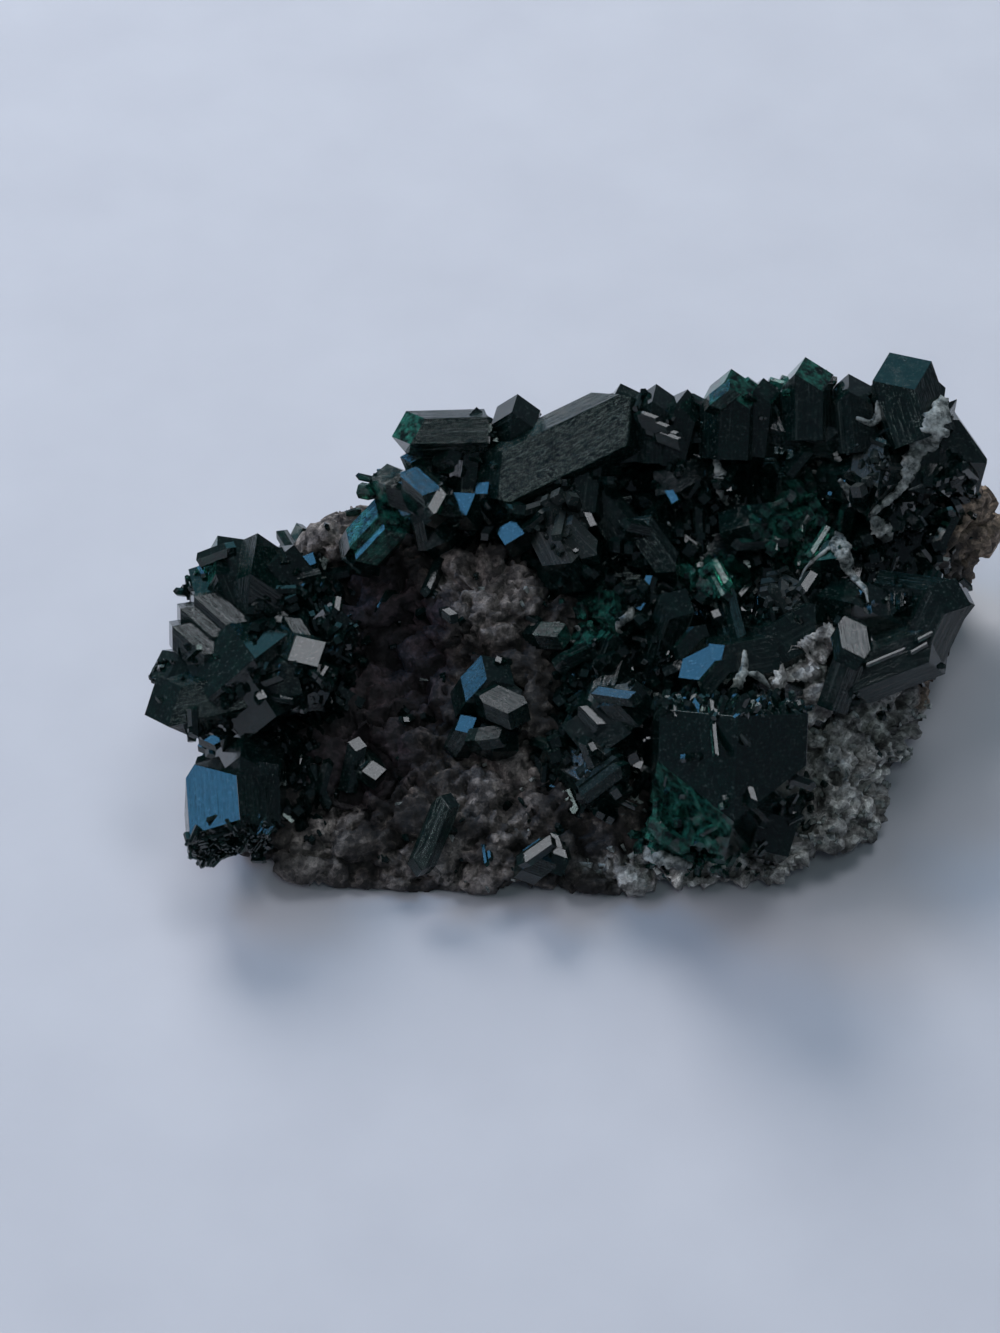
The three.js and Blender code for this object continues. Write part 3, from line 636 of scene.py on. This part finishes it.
PALE_RIDGE = {
    "pale_matrix_ridge": (
        [(17.4, -5.2, 0.6), (19.0, -4.4, 2.0), (20.6, -3.3, 3.2), (21.8, -2.0, 2.6), (23.0, 0.0, 0.8)],
        [(20.8, -3.6, 1.6), (21.4, -5.2, 3.4), (21.8, -6.8, 3.8), (22.2, -8.4, 2.4)],
    ),
}
CAD_SEAMS = {"corner_calcite": "corner_calcite_seam", "upper_calcite": "upper_calcite_seam"}

# Grained calcite: off-white with grey-green stains, waxy rather than glassy, and finely bumpy.
calcite = new_material("white_calcite")
place = node(calcite, "ShaderNodeTexCoord")
cloud = node(
    calcite,
    "ShaderNodeTexNoise",
    {"Vector": place.outputs["Object"], "Scale": 1 / (0.9 * MM), "Detail": 7.0, "Roughness": 0.7},
)
stain = node(
    calcite,
    "ShaderNodeMapRange",
    {"Value": cloud.outputs["Fac"], "From Min": 0.4, "From Max": 0.62, "To Min": 0.0, "To Max": 1.0},
)
white = node(
    calcite,
    "ShaderNodeMix",
    {0: stain.outputs["Result"], 6: linear("#343a38"), 7: linear("#aaaea9")},
    data_type="RGBA",
)
white_bump = node(
    calcite, "ShaderNodeBump", {"Strength": 0.6, "Distance": 0.12 * MM, "Height": cloud.outputs["Fac"]}
)
waxy = node(
    calcite,
    "ShaderNodeBsdfPrincipled",
    {
        "Base Color": white.outputs[2],
        "Roughness": 0.42,
        "IOR": 1.6,
        "Normal": white_bump.outputs["Normal"],
    },
)
node(calcite, "ShaderNodeOutputMaterial", {"Surface": waxy.outputs["BSDF"]})

carrier = bmesh.new()
under_face = []
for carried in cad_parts.values():
    if not carried.name.endswith("seam"):
        carrier.from_mesh(matrix.data if carried.name == "matrix_rock" else carried.data)
        under_face += [carried.name] * (len(carrier.faces) - len(under_face))
surface = BVHTree.FromBMesh(carrier)
carrier.free()


def seen_with_name(u, v):
    """The point that the camera sees behind a point of the display plane, in its millimetres, and the
    name of the solid that it lies on."""
    start = display @ away.translation
    aim = display @ (Vector((u, v, CAMERA_AIM.z / MM)) * MM)
    hit, _, face, _ = surface.ray_cast(start, (aim - start).normalized())
    if hit is None:
        hit, _, face, _ = surface.find_nearest(aim)
    return to_display @ hit / MM, under_face[face]


def seen(u, v):
    return seen_with_name(u, v)[0]


def on_course(course, t):
    """Middle and width of a seam a share t of its way, with the way it runs there."""
    at = t * (len(course) - 1)
    i = min(int(at), len(course) - 2)
    steps = [min(max(k, 0), len(course) - 1) for k in range(i - 1, i + 3)]
    before, start, end, after = (Vector(course[k]) for k in steps)
    f = at - i
    bend = (end - before) / 2 * (f - 2 * f * f + f**3) + (after - start) / 2 * (f**3 - f * f)
    point = start * (1 - 3 * f * f + 2 * f**3) + end * (3 * f * f - 2 * f**3) + bend
    return point, (end - start).xy.normalized()


def seam_band(bm, course, depth):
    """Lays one seam over what the camera sees, as a band with a crown, and gives it its depth."""
    reach = sum((Vector(b[:2]) - Vector(a[:2])).length for a, b in zip(course, course[1:]))
    steps = max(6, int(reach / SEAM_STEP))
    middles = [on_course(course, k / steps) for k in range(steps + 1)]
    heights = []
    for point, way in middles:
        edge = Vector((-way.y, way.x)) * point.z / 2
        sides = [seen(point.x + edge.x * out, point.y + edge.y * out).z for out in (-0.8, 0, 0.8)]
        heights.append(min(max(sides), sides[1] + SEAM_RISE))
    levels = [max(heights[max(0, k - 2) : k + 3]) for k in range(steps + 1)]
    stretches = [levels[max(0, k - 3) : k + 4] for k in range(steps + 1)]
    levels = [sum(stretch) / len(stretch) for stretch in stretches]
    fine = bm.verts.layers.float["fine"]
    band = bmesh.ops.create_grid(bm, x_segments=steps, y_segments=SEAM_ROWS, size=1)["verts"]
    for vert in band:
        k = round((vert.co.x + 1) / 2 * steps)
        out = vert.co.y
        point, way = middles[k]
        bank = Vector((point.x, point.y, 3 * (out > 0)))
        ragged = 1 + 0.35 * noise.noise(bank * 1.3) + 0.35 * noise.noise(bank * 4.1)
        side = Vector((-way.y, way.x)) * out * point.z / 2 * ragged
        crown = SEAM_CROWN * (1 - abs(out) ** 3) - SEAM_SINK
        vert[fine] = min(1, point.z)
        vert.co = display @ (Vector((point.x + side.x, point.y + side.y, levels[k] + crown)) * MM)
    faces = list({face for vert in band for face in vert.link_faces})
    under = bmesh.ops.extrude_face_region(bm, geom=faces, use_keep_orig=True)["geom"]
    sunk = [part for part in under if isinstance(part, bmesh.types.BMVert)]
    bmesh.ops.translate(bm, vec=display.to_3x3() @ Vector((0, 0, -depth * MM)), verts=sunk)


for name, courses in {**SEAMS, **PALE_RIDGE}.items():
    bm = bmesh.new()
    bm.verts.layers.float.new("fine")
    for course in courses:
        seam_band(bm, course, RIDGE_DEPTH if name in PALE_RIDGE else SEAM_DEPTH)
    bmesh.ops.recalc_face_normals(bm, faces=bm.faces)
    # the extrusion makes its side walls in no fixed order, so the faces are put in one
    bm.faces.sort(key=lambda face: face.calc_center_median().dot(FACE_ORDER))
    bm.normal_update()
    fine = bm.verts.layers.float["fine"]
    for vert in bm.verts:
        near = noise.voronoi(vert.co / (0.8 * MM))[0]
        swell = 0.25 * min(0.4, near[1] - near[0])
        lump = swell + 0.14 * noise.fractal(vert.co / (0.4 * MM), 0.8, 2.0, 3)
        vert.co += vert.normal * lump * vert[fine] * MM
    if name in PALE_RIDGE:
        pale = bm.verts.layers.float.new("pale")
        # The ridge takes the rock's crevice values too, which its colour darkens as painted shade.
        crevices = bm.verts.layers.float.new("crevice")
        for vert in bm.verts:
            vert[pale] = RIDGE_PALE
            height, vert[crevices] = rock_relief(vert.co, RIDGE_PITTED, 0)
            vert.co += vert.normal * RIDGE_RELIEF * height
    piece = finished(name, bm, rock if name in PALE_RIDGE else calcite)
    piece.data.shade_smooth()
    if name in CAD_SEAMS:
        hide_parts(CAD_SEAMS[name])


# ---- Bright facets ----
# Single crystals, from slivers to prisms of 9 mm, that grew between the large ones, each with one clean
# face. Some lie and show a prism face, some stand and show a face of their cap. Most are turned to the
# light, and a few to the dim room.

CAP_ANGLE = math.radians(51)
STANDING_LENGTH = 2.6
FACES_SKY = (-25, 31)
FACES_LAMP = (10, 31)
FACES_ROOM = (-16, -6)
LYING_FACETS = [
    # u, v, lift, faces, lie, face, depth, length
    (25.3, -1.0, 1.2, FACES_LAMP, 97, 2.5, 2.0, 5.8),
    (-13.2, 1.5, 0.8, FACES_LAMP, 20, 0.5, 1.2, 1.9),
    (-11.0, 1.3, 0.8, FACES_LAMP, -35, 0.6, 1.2, 2.2),
    (-13.7, 13.0, 1.2, FACES_SKY, -42, 1.6, 2.0, 6.0),
    (-12.1, 11.2, 2.2, FACES_LAMP, 62, 0.9, 1.0, 3.6),
    (-24.7, 0.0, 0.6, FACES_LAMP, 122, 1.3, 2.6, 4.6),
    (-26.1, 0.8, 0.4, FACES_LAMP, 124, 1.2, 2.6, 4.2),
    (-14.7, 14.7, 0.7, FACES_SKY, 150, 1.4, 2.4, 4.0),
    (-12.3, 4.8, 2.0, FACES_LAMP, 68, 0.44, 1.4, 5.0),
    (7.0, 18.9, 1.4, FACES_LAMP, 160, 0.35, 1.6, 3.0),
    (7.6, 18.3, 1.4, FACES_LAMP, 158, 0.35, 1.6, 3.8),
    (8.2, 17.7, 1.4, FACES_LAMP, 161, 0.35, 1.6, 4.2),
    (8.8, 17.1, 1.4, FACES_LAMP, 158, 0.35, 1.6, 3.4),
    (13.2, 21.0, 1.3, FACES_SKY, 38, 1.0, 1.8, 4.2),
    (1.9, -8.0, 0.6, FACES_LAMP, -46, 0.7, 1.6, 4.0),
    (16.2, -15.0, 0.5, FACES_LAMP, 285, 0.5, 1.2, 2.6),
    (-2.1, -0.3, 1.2, FACES_LAMP, -4, 1.5, 2.2, 4.6),
    (-6.2, -6.6, 1.1, FACES_LAMP, -24, 2.3, 2.4, 5.8),
    (-7.5, -9.6, 1.1, FACES_LAMP, 8, 1.3, 1.8, 4.2),
    (3.7, -6.0, 1.0, FACES_SKY, -8, 0.8, 1.4, 5.2),
    (-3.1, -20.0, 1.0, FACES_LAMP, 34, 0.8, 1.2, 4.4),
    (-1.3, -19.6, 1.0, FACES_LAMP, 108, 0.6, 1.1, 3.2),
    (-11.8, 15.4, 0.4, FACES_SKY, 20, 0.9, 1.8, 3.4),
    (-17.0, 2.2, 0.6, FACES_SKY, 60, 0.7, 1.6, 3.4),
    (15.6, 3.4, 0.8, FACES_LAMP, 48, 0.4, 1.2, 3.2),
    (12.8, -9.1, 0.4, FACES_LAMP, 94, 0.3, 0.6, 6.0),
    (28.2, -2.7, 0.4, FACES_LAMP, 22, 0.2, 0.5, 4.6),
    (31.2, -1.9, 0.4, FACES_LAMP, 28, 0.2, 0.5, 2.4),
    (32.0, -0.7, 0.4, FACES_LAMP, 26, 0.2, 0.5, 2.8),
    (8.0, -17.8, 2.4, FACES_LAMP, -52, 0.3, 2.2, 3.2),
    (9.4, -18.7, 2.4, FACES_LAMP, -38, 0.35, 2.2, 3.2),
    (10.6, -17.9, 2.2, FACES_LAMP, -66, 0.25, 2.0, 3.0),
    (12.4, -18.8, 2.0, FACES_LAMP, -58, 0.25, 1.8, 2.8),
    (10.5, -1.5, 0.9, FACES_ROOM, 50, 1.2, 1.2, 4.2),
    (12.9, -4.6, 0.9, FACES_ROOM, 50, 1.4, 1.2, 4.4),
    (3.4, 9.4, 0.9, FACES_ROOM, -50, 2.8, 2.2, 9.0),
    (7.2, 6.9, 0.8, FACES_ROOM, -54, 2.0, 1.8, 7.0),
    (0.4, 7.6, 0.8, FACES_ROOM, -46, 1.6, 1.6, 5.5),
]
STANDING_FACETS = [
    # u, v, lift, faces, lie, width
    (-28.0, -6.2, 0.15, FACES_LAMP, 250, 1.2),
    (-32.7, -11.4, 0.6, FACES_SKY, 100, 2.0),
    (-23.7, 5.9, 1.2, FACES_SKY, 60, 1.9),
    (-8.1, 12.4, 0.6, FACES_SKY, 40, 1.8),
    (21.2, 15.9, 0.8, FACES_LAMP, 40, 1.3),
    (19.0, 15.9, 0.7, FACES_LAMP, 60, 0.9),
    (5.9, -12.4, 0.6, FACES_LAMP, 300, 1.2),
    (-6.6, -3.0, 0.5, FACES_LAMP, 200, 0.8),
    (-14.9, -8.4, 0.5, FACES_LAMP, 230, 0.7),
]


def direction(angle):
    return Vector((math.cos(math.radians(angle)), math.sin(math.radians(angle)), 0))


def facing(right, back):
    return Vector((math.tan(math.radians(right)), math.tan(math.radians(back)), 1)).normalized()


def cut_face(bm, normal, out):
    """Cuts one flat face on a convex shape and closes it."""
    everything = bm.verts[:] + bm.edges[:] + bm.faces[:]
    cut = bmesh.ops.bisect_plane(
        bm, geom=everything, dist=1e-9, plane_co=normal * out, plane_no=normal, clear_outer=True
    )["geom_cut"]
    rim = [part for part in cut if isinstance(part, bmesh.types.BMEdge)]
    if rim:
        bmesh.ops.edgeloop_fill(bm, edges=rim)


def crystal_shape(depth, face, length, both_ends):
    """A crystal in millimetres: long axis +Z, first prism face towards +X, middle at the origin."""
    bm = bmesh.new()
    bmesh.ops.create_cube(bm, size=length)
    bmesh.ops.scale(bm, vec=(3, 3, 1), verts=bm.verts)
    across = 0.433 * face + 0.25 * depth  # leaves the first face its width
    for k in range(6):
        turn = k * math.pi / 3
        cut_face(bm, Vector((math.cos(turn), math.sin(turn), 0)), depth / 2 if k % 3 == 0 else across)
    for end in (1, -1) if both_ends else (1,):
        for k in range(3):
            turn = end * math.pi / 6 + k * 2 * math.pi / 3
            slope = Vector((math.cos(turn), math.sin(turn), 0)) * math.sin(CAP_ANGLE)
            slope.z = end * math.cos(CAP_ANGLE)
            cut_face(bm, slope, length / 2 * math.cos(CAP_ANGLE))
    mesh = bpy.data.meshes.new("crystal")
    bm.to_mesh(mesh)
    bm.free()
    return mesh


def axes(along, first, middle):
    """The place of a crystal from its long axis, the way its first face looks, and its middle."""
    z = along.normalized()
    x = (first - z * first.dot(z)).normalized()
    turn = Matrix((x, z.cross(x), z)).transposed().to_4x4()
    return Matrix.Translation(middle) @ turn


def grown_together(name, crystals):
    """One piece from crystals given as meshes in millimetres with their places on the display plane."""
    bm = bmesh.new()
    for mesh, place in crystals:
        placed = mesh.copy()
        placed.transform(display @ Matrix.Scale(MM, 4) @ place)
        bm.from_mesh(placed)
        bpy.data.meshes.remove(placed)
    mark_growth(bm)
    piece = finished(name, bm, dioptase)
    return piece


facets = []
for u, v, lift, faces, lie, face, depth, length in LYING_FACETS:
    normal = facing(*faces)
    along = direction(lie)
    along.z = -normal.dot(along) / normal.z
    middle = seen(u, v) + Vector((0, 0, lift)) - normal * depth / 2
    facets.append((crystal_shape(depth, face, length, True), axes(along, normal, middle)))
for u, v, lift, faces, lie, width in STANDING_FACETS:
    normal = facing(*faces)
    down = direction(lie)
    down.z = -normal.dot(down) / normal.z
    down.normalize()
    along = normal * math.cos(CAP_ANGLE) + down * math.sin(CAP_ANGLE)
    corner = width / math.sqrt(3)
    length = STANDING_LENGTH * width
    towards = (normal - along * math.cos(CAP_ANGLE)).normalized()
    reach = corner / 2 * math.tan(CAP_ANGLE) - length / 2
    middle = seen(u, v) + Vector((0, 0, lift)) - towards * corner / 2 + along * reach
    first = Matrix.Rotation(-math.pi / 6, 3, along) @ towards
    facets.append((crystal_shape(width, corner, length, False), axes(along, first, middle)))
grown_together("bright_facet_crystals", facets)


# ---- Emerald tuft ----
# A fan of slim clear crystals at the foot of the large front crystal, thin enough to show their green.

TUFT = (9.4, -18.6)
TUFT_SPREAD = (3.4, 1.9)
TUFT_COUNT = 26

draw = random.Random(7)
tuft = []
for _ in range(TUFT_COUNT):
    turn, out = draw.uniform(0, 2 * math.pi), math.sqrt(draw.random())
    aside, up = TUFT_SPREAD[0] * out * math.cos(turn), TUFT_SPREAD[1] * out * math.sin(turn)
    foot = seen(TUFT[0] + aside, TUFT[1] + up)
    lean = Vector((0.5 * out * math.cos(turn) - 0.2, 0.5 * out * math.sin(turn) + 0.1, 0.8))
    along = lean.normalized()
    along = (along + Vector([draw.gauss(0, 0.35) for _ in range(3)])).normalized()
    width = draw.uniform(0.5, 1.3)
    shape = crystal_shape(width, 0.58 * width, width * draw.uniform(2.2, 4.0), False)
    first = Vector([draw.gauss(0, 1) for _ in range(3)])
    tuft.append((shape, axes(along, first, foot + along * 0.6 * width)))
grown_together("emerald_tuft_crystals", tuft)


# ---- Small crystals ----
# A jumble of dioptase crystals, mostly under 4 mm long, that covers the crust between the large ones
# and thins out over the rock around them. They are the same growth, at every angle.

CRUST_FACE = 18.3
CRUST_SLOPE = 0.3
MAIN_BEDS = [
    (-10.5, 12.5, 8.5, 4.5),
    (6.0, 11.0, 10.5, 8.5),
    (20.5, 9.5, 12.0, 10.0),
    (8.5, -5.5, 9.0, 8.0),
    (27.5, 3.0, 6.5, 6.5),
    (34.4, 12.6, 2.6, 3.4),
    (1.4, -12.6, 3.0, 2.6),
]
CLEAN_FACES = [
    (0.0, 17.0, 7.0, 3.6),
    (-11.0, 18.5, 5.0, 2.2),
    (29.8, 21.5, 3.4, 3.6),
    (14.5, -9.5, 6.6, 6.0),
    (11.3, -2.9, 1.9, 2.3),
    (25.8, -0.6, 1.8, 1.8),
    (-17.3, 9.0, 2.4, 3.0),
    (-33.0, 1.2, 3.2, 2.8),
    (-23.5, -2.3, 1.8, 1.8),
    (-32.0, -14.8, 3.4, 3.8),
    (-13.8, 13.2, 2.8, 2.2),
    (-10.0, 11.4, 1.8, 1.6),
    (-5.4, 8.5, 1.5, 1.5),
    (-12.2, 11.2, 1.2, 1.6),
    (3.4, 9.4, 1.8, 2.4),
    (7.2, 6.9, 1.4, 1.8),
    (-29.4, 4.8, 3.6, 2.2),
]
LOBE_BED = [(-29.0, -3.0, 9.5, 10.0)]
OVERGROWN = [
    (-1.1, 9.4, 2.8, 3.4),
    (18.8, 3.2, 2.2, 2.2),
    (26.6, 14.6, 2.0, 2.4),
    (34.4, 12.6, 2.6, 3.4),
    (1.3, -12.7, 2.8, 2.4),
]
ROCK_BEDS = [
    (-28.5, -1.5, 8.0, 9.0),
    (13.0, -13.5, 7.0, 7.5),
    (2.6, -11.4, 5.4, 4.6),
    (-31.0, -15.0, 3.0, 5.0),
    (-26.0, -14.0, 3.2, 4.5),
]
SMALL_SHAPES = [(1, 0.58, 2.2), (1, 0.58, 3.2), (1, 0.45, 4.2), (0.7, 0.75, 2.6), (1, 0.58, 1.5)]
BROAD_FACE = 2.2 * MM**2
CRUST_TRIES = 3600
CRUST_GLINTING = 0.13
LOBE_TRIES = 520
SPARSE_GLINTING = 0.06
GLINT_SIZE = 0.8
LOBE_DENSITY = 1.1
FRONT_DENSITY = 1.3
MAIN_DENSITY = 1.0
ROCK_DENSITY = 0.85

draw = random.Random(20)
small = [crystal_shape(depth, face, length, False) for depth, face, length in SMALL_SHAPES]


def spots(mesh, density):
    """Random points over a mesh's faces, a number to each square millimetre."""
    for face in mesh.polygons:
        corners = [mesh.vertices[i].co for i in face.vertices]
        share = density * face.area / MM**2
        for _ in range(int(share) + (draw.random() < share % 1)):
            a, b = draw.random(), draw.random()
            if a + b > 1:
                a, b = 1 - a, 1 - b
            spot = corners[0] + (corners[1] - corners[0]) * a + (corners[2] - corners[0]) * b
            yield to_display @ spot / MM, to_display.to_3x3() @ face.normal, face.area > BROAD_FACE


def shows(place):
    """Whether a place is in the camera's sight."""
    start = display @ away.translation
    way = display @ (place * MM) - start
    return surface.ray_cast(start, way.normalized(), way.length)[0] is None


def stray():
    return Vector((draw.gauss(0, 1), draw.gauss(0, 1), draw.gauss(0, 1)))


def sheaf(place, normal, width, wander, count):
    """Small crystals side by side with one axis, rooted below the surface."""
    along = (normal + stray() * wander).normalized()
    if along.dot(normal) < 0.2:
        along = (along + normal * (0.35 - along.dot(normal))).normalized()
    first = stray()
    side = along.cross(first).normalized()
    for k in range(count):
        wide = width * draw.uniform(0.7, 1.1)
        aside = side * width * 0.8 * (k - (count - 1) / 2)
        middle = place + aside + along * width * draw.uniform(-0.25, 0.45)
        yield draw.choice(small), axes(along, first, middle) @ Matrix.Scale(wide, 4)


def glinting(place, width):
    """A small crystal with one prism face turned as the bright facets are."""
    normal = (facing(*draw.choice((FACES_SKY, FACES_LAMP, FACES_LAMP))) + stray() * 0.03).normalized()
    along = direction(draw.uniform(0, 360))
    along.z = -normal.dot(along) / normal.z
    return draw.choice(small), axes(along, normal, place) @ Matrix.Scale(width, 4)


jumble = []
for _ in range(CRUST_TRIES):
    u, v = draw.uniform(-20, 36), draw.uniform(-15, 21)
    if in_ovals(Vector((u, v)), MAIN_BEDS) > 1.04 or in_ovals(Vector((u, v)), CLEAN_FACES) < 1:
        continue
    place = seen(u, v)
    high = place.z - CRUST_FACE + CRUST_SLOPE * v
    if draw.random() > (0.9 if in_ovals(place, OVERGROWN) < 1 else 1.15 - 0.28 * high):
        continue
    width = 0.3 + 1.3 * draw.random() ** 2.4
    if draw.random() < CRUST_GLINTING:
        jumble.append(glinting(place, width * GLINT_SIZE))
    else:
        jumble += sheaf(place, Vector((0, 0.2, 1)), width, 1.0, draw.choice((1, 1, 1, 2, 3)))
for _ in range(LOBE_TRIES):
    u, v = draw.uniform(-38, -19), draw.uniform(-13, 8)
    if in_ovals(Vector((u, v)), LOBE_BED) > 1 or in_ovals(Vector((u, v)), CLEAN_FACES) < 1:
        continue
    place = seen(u, v)
    if draw.random() > 1.1 - 0.2 * (place.z - 21):
        continue
    width = 0.3 + (0.4 if u < -32.5 else 1.1) * draw.random() ** 2
    if draw.random() < SPARSE_GLINTING:
        jumble.append(glinting(place, width * GLINT_SIZE))
    else:
        jumble += sheaf(place, Vector((-0.1, 0.1, 1)), width, 1.0, draw.choice((1, 1, 2, 3)))
for place, normal, _ in spots(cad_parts["left_lobe_crystals"].data, LOBE_DENSITY):
    if normal.y < -0.5 and normal.z > 0.2:
        lowest = place.y < -17
        width = draw.uniform(0.3, 0.5) if lowest else draw.uniform(0.35, 1.0)
        count = 7 if lowest else draw.choice((1, 1, 2))
        jumble += sheaf(place, normal, width, 1.2 if lowest else 0.7, count)
for place, normal, _ in spots(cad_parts["large_front_crystals"].data, FRONT_DENSITY):
    if normal.y > 0.45 or (normal.z > 0.2 and draw.random() < 0.05):
        jumble += sheaf(place, normal, draw.uniform(0.35, 0.9), 0.7, draw.choice((1, 1, 2)))
for place, normal, broad in spots(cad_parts["main_crystal_mass"].data, MAIN_DENSITY):
    seen_there = shows(place + normal * 1.4)
    if (normal.z > -0.2 and broad) or (seen_there and in_ovals(place, CLEAN_FACES) < 1.2):
        continue
    if draw.random() > (0.1 if seen_there else 0.6):
        continue
    widest = 0.65 if normal.z > -0.2 else 1.0
    jumble += sheaf(place, normal, draw.uniform(0.3, widest), 0.5, draw.choice((1, 2)))
grown_together("main_small_crystals", jumble)

fringe = []
for place, normal, _ in spots(matrix.data, ROCK_DENSITY):
    if normal.z < 0.1 or (display @ (place * MM)).z < 2 * MM:
        continue
    if in_ovals(place, ROCK_BEDS) < 1:
        if draw.random() < SPARSE_GLINTING:
            fringe.append(glinting(place + normal * 0.4, draw.uniform(0.4, 1.0)))
        fringe += sheaf(place, normal, draw.uniform(0.4, 1.4), 1.0, draw.choice((1, 1, 2, 3)))
    elif draw.random() < (0.3 if in_ovals(place, MAIN_BEDS + ROCK_BEDS) < 1.25 else 0.05):
        fringe += sheaf(place, normal, draw.uniform(0.25, 0.8), 0.8, draw.choice((1, 1, 2)))
grown_together("rock_small_crystals", fringe)


# ---- Calcite crumbs ----
# Crumbs and short blades of the same white calcite, caught among the crystals and on the pale rock.

CRUMBLED = [(13.2, 12.6, 2.2, 3.4), (11.0, 6.0, 2.5, 1.5), (25.0, 12.0, 4.0, 5.0)]
CRUMB_TRIES = 2600

draw = random.Random(31)
bm = bmesh.new()
for _ in range(CRUMB_TRIES):
    u, v = draw.uniform(-16, 34), draw.uniform(-24, 20)
    spot = Vector((u, v))
    if in_ovals(spot, CLEAN_FACES) < 1:
        continue
    place, under = seen_with_name(u, v)
    if in_ovals(spot, ROCK_ZONES["pale"]) < 1.1:
        chance = 0.5 * (under == "matrix_rock")
    elif in_ovals(spot, MAIN_BEDS + ROCK_BEDS) < 1.1 and place.z - CRUST_FACE + CRUST_SLOPE * v < 1.2:
        chance = 0.6 if in_ovals(spot, CRUMBLED) < 1 else 0.1 + 0.007 * u
    else:
        chance = 0.03 * (under == "matrix_rock")
    if draw.random() > chance or (display @ (place * MM)).z < 1.5 * MM:
        continue
    grain = bmesh.ops.create_cube(bm, size=draw.uniform(0.2, 0.6))["verts"]
    for vert in grain:
        vert.co *= draw.uniform(0.6, 1.3)
    long = Matrix.Diagonal((draw.uniform(1, 2.2), draw.uniform(0.5, 1), draw.uniform(0.4, 1), 1))
    turn = Matrix.Rotation(draw.uniform(0, 6.28), 4, stray().normalized())
    bmesh.ops.transform(
        bm, matrix=display @ Matrix.Scale(MM, 4) @ Matrix.Translation(place) @ turn @ long, verts=grain
    )
crumbs = finished("calcite_crumbs", bm, calcite)


# ---- Floor and light ----
# A plain pale table under softboxes at the back and the left, which the crystals don't mirror. The sky
# and lamp softboxes hang where their parallel faces mirror them, and two cards fill in other faces.

FLOOR_HALF = 3

bm = bmesh.new()
bmesh.ops.create_grid(bm, x_segments=1, y_segments=1, size=FLOOR_HALF)
floor_mesh = bpy.data.meshes.new("floor")
bm.to_mesh(floor_mesh)
bm.free()
# Uncoated paper: matt and faintly mottled, with no shine.
paper = new_material("matt_paper")
place = node(paper, "ShaderNodeTexCoord")
mottle = node(
    paper,
    "ShaderNodeTexNoise",
    {"Vector": place.outputs["Object"], "Scale": 1 / (14 * MM), "Detail": 5.0},
)
tint = node(
    paper,
    "ShaderNodeMix",
    {0: mottle.outputs["Fac"], 6: linear("#b9b9bf"), 7: linear("#c6c6cb")},
    data_type="RGBA",
)
sheet = node(paper, "ShaderNodeBsdfPrincipled", {"Base Color": tint.outputs[2], "Roughness": 0.9})
node(paper, "ShaderNodeOutputMaterial", {"Surface": sheet.outputs["BSDF"]})
floor_mesh.materials.append(paper)
floor = bpy.data.objects.new("floor", floor_mesh)
bpy.context.collection.objects.link(floor)

LIGHT_REACH = 1.2
ROOM_LIGHT = 0.25
SOFTBOXES = {
    # towards, colour, size, radiance, mirrored in the crystals
    "back_softbox": ((-0.28, 0.8, 0.56), "#fffbfa", 0.5, 15.8, False),
    "side_softbox": ((-0.75, -0.1, 0.65), "#f4f2ff", 0.8, 2.8, False),
    "sky_card": ((-0.1, 0.75, 0.65), "#5aa6bc", 0.9, 1.15, True),
    "sky_softbox": ((-0.6, 0.35, 0.72), "#69beff", 0.44, 3.9, True),
    "lamp_softbox": ((0.25, 0.3, 0.92), "#eef2fa", 0.44, 4.5, True),
    "camera_card": ((0.08, -0.57, 0.82), "#d8f0f0", 0.24, 6.0, True),
}
middle = (cad_box[0] + cad_box[1]) / 2
for name, (towards, hue, size, radiance, mirrored) in SOFTBOXES.items():
    lamp = bpy.data.lights.new(name, "AREA")
    lamp.shape = "SQUARE"
    lamp.size = size
    lamp.energy = radiance * math.pi * size * size
    lamp.color = linear(hue)[:3]
    softbox = bpy.data.objects.new(name, lamp)
    softbox.location = middle + Vector(towards).normalized() * LIGHT_REACH
    softbox.rotation_euler = Vector(towards).to_track_quat("Z", "Y").to_euler()
    softbox.visible_glossy = mirrored
    bpy.context.collection.objects.link(softbox)

world = bpy.data.worlds.new("dim_room")
world.use_nodes = True
world.node_tree.nodes["Background"].inputs["Color"].default_value = linear("#9fb0c4")
world.node_tree.nodes["Background"].inputs["Strength"].default_value = ROOM_LIGHT
bpy.context.scene.world = world
bpy.context.scene.view_settings.view_transform = "Standard"
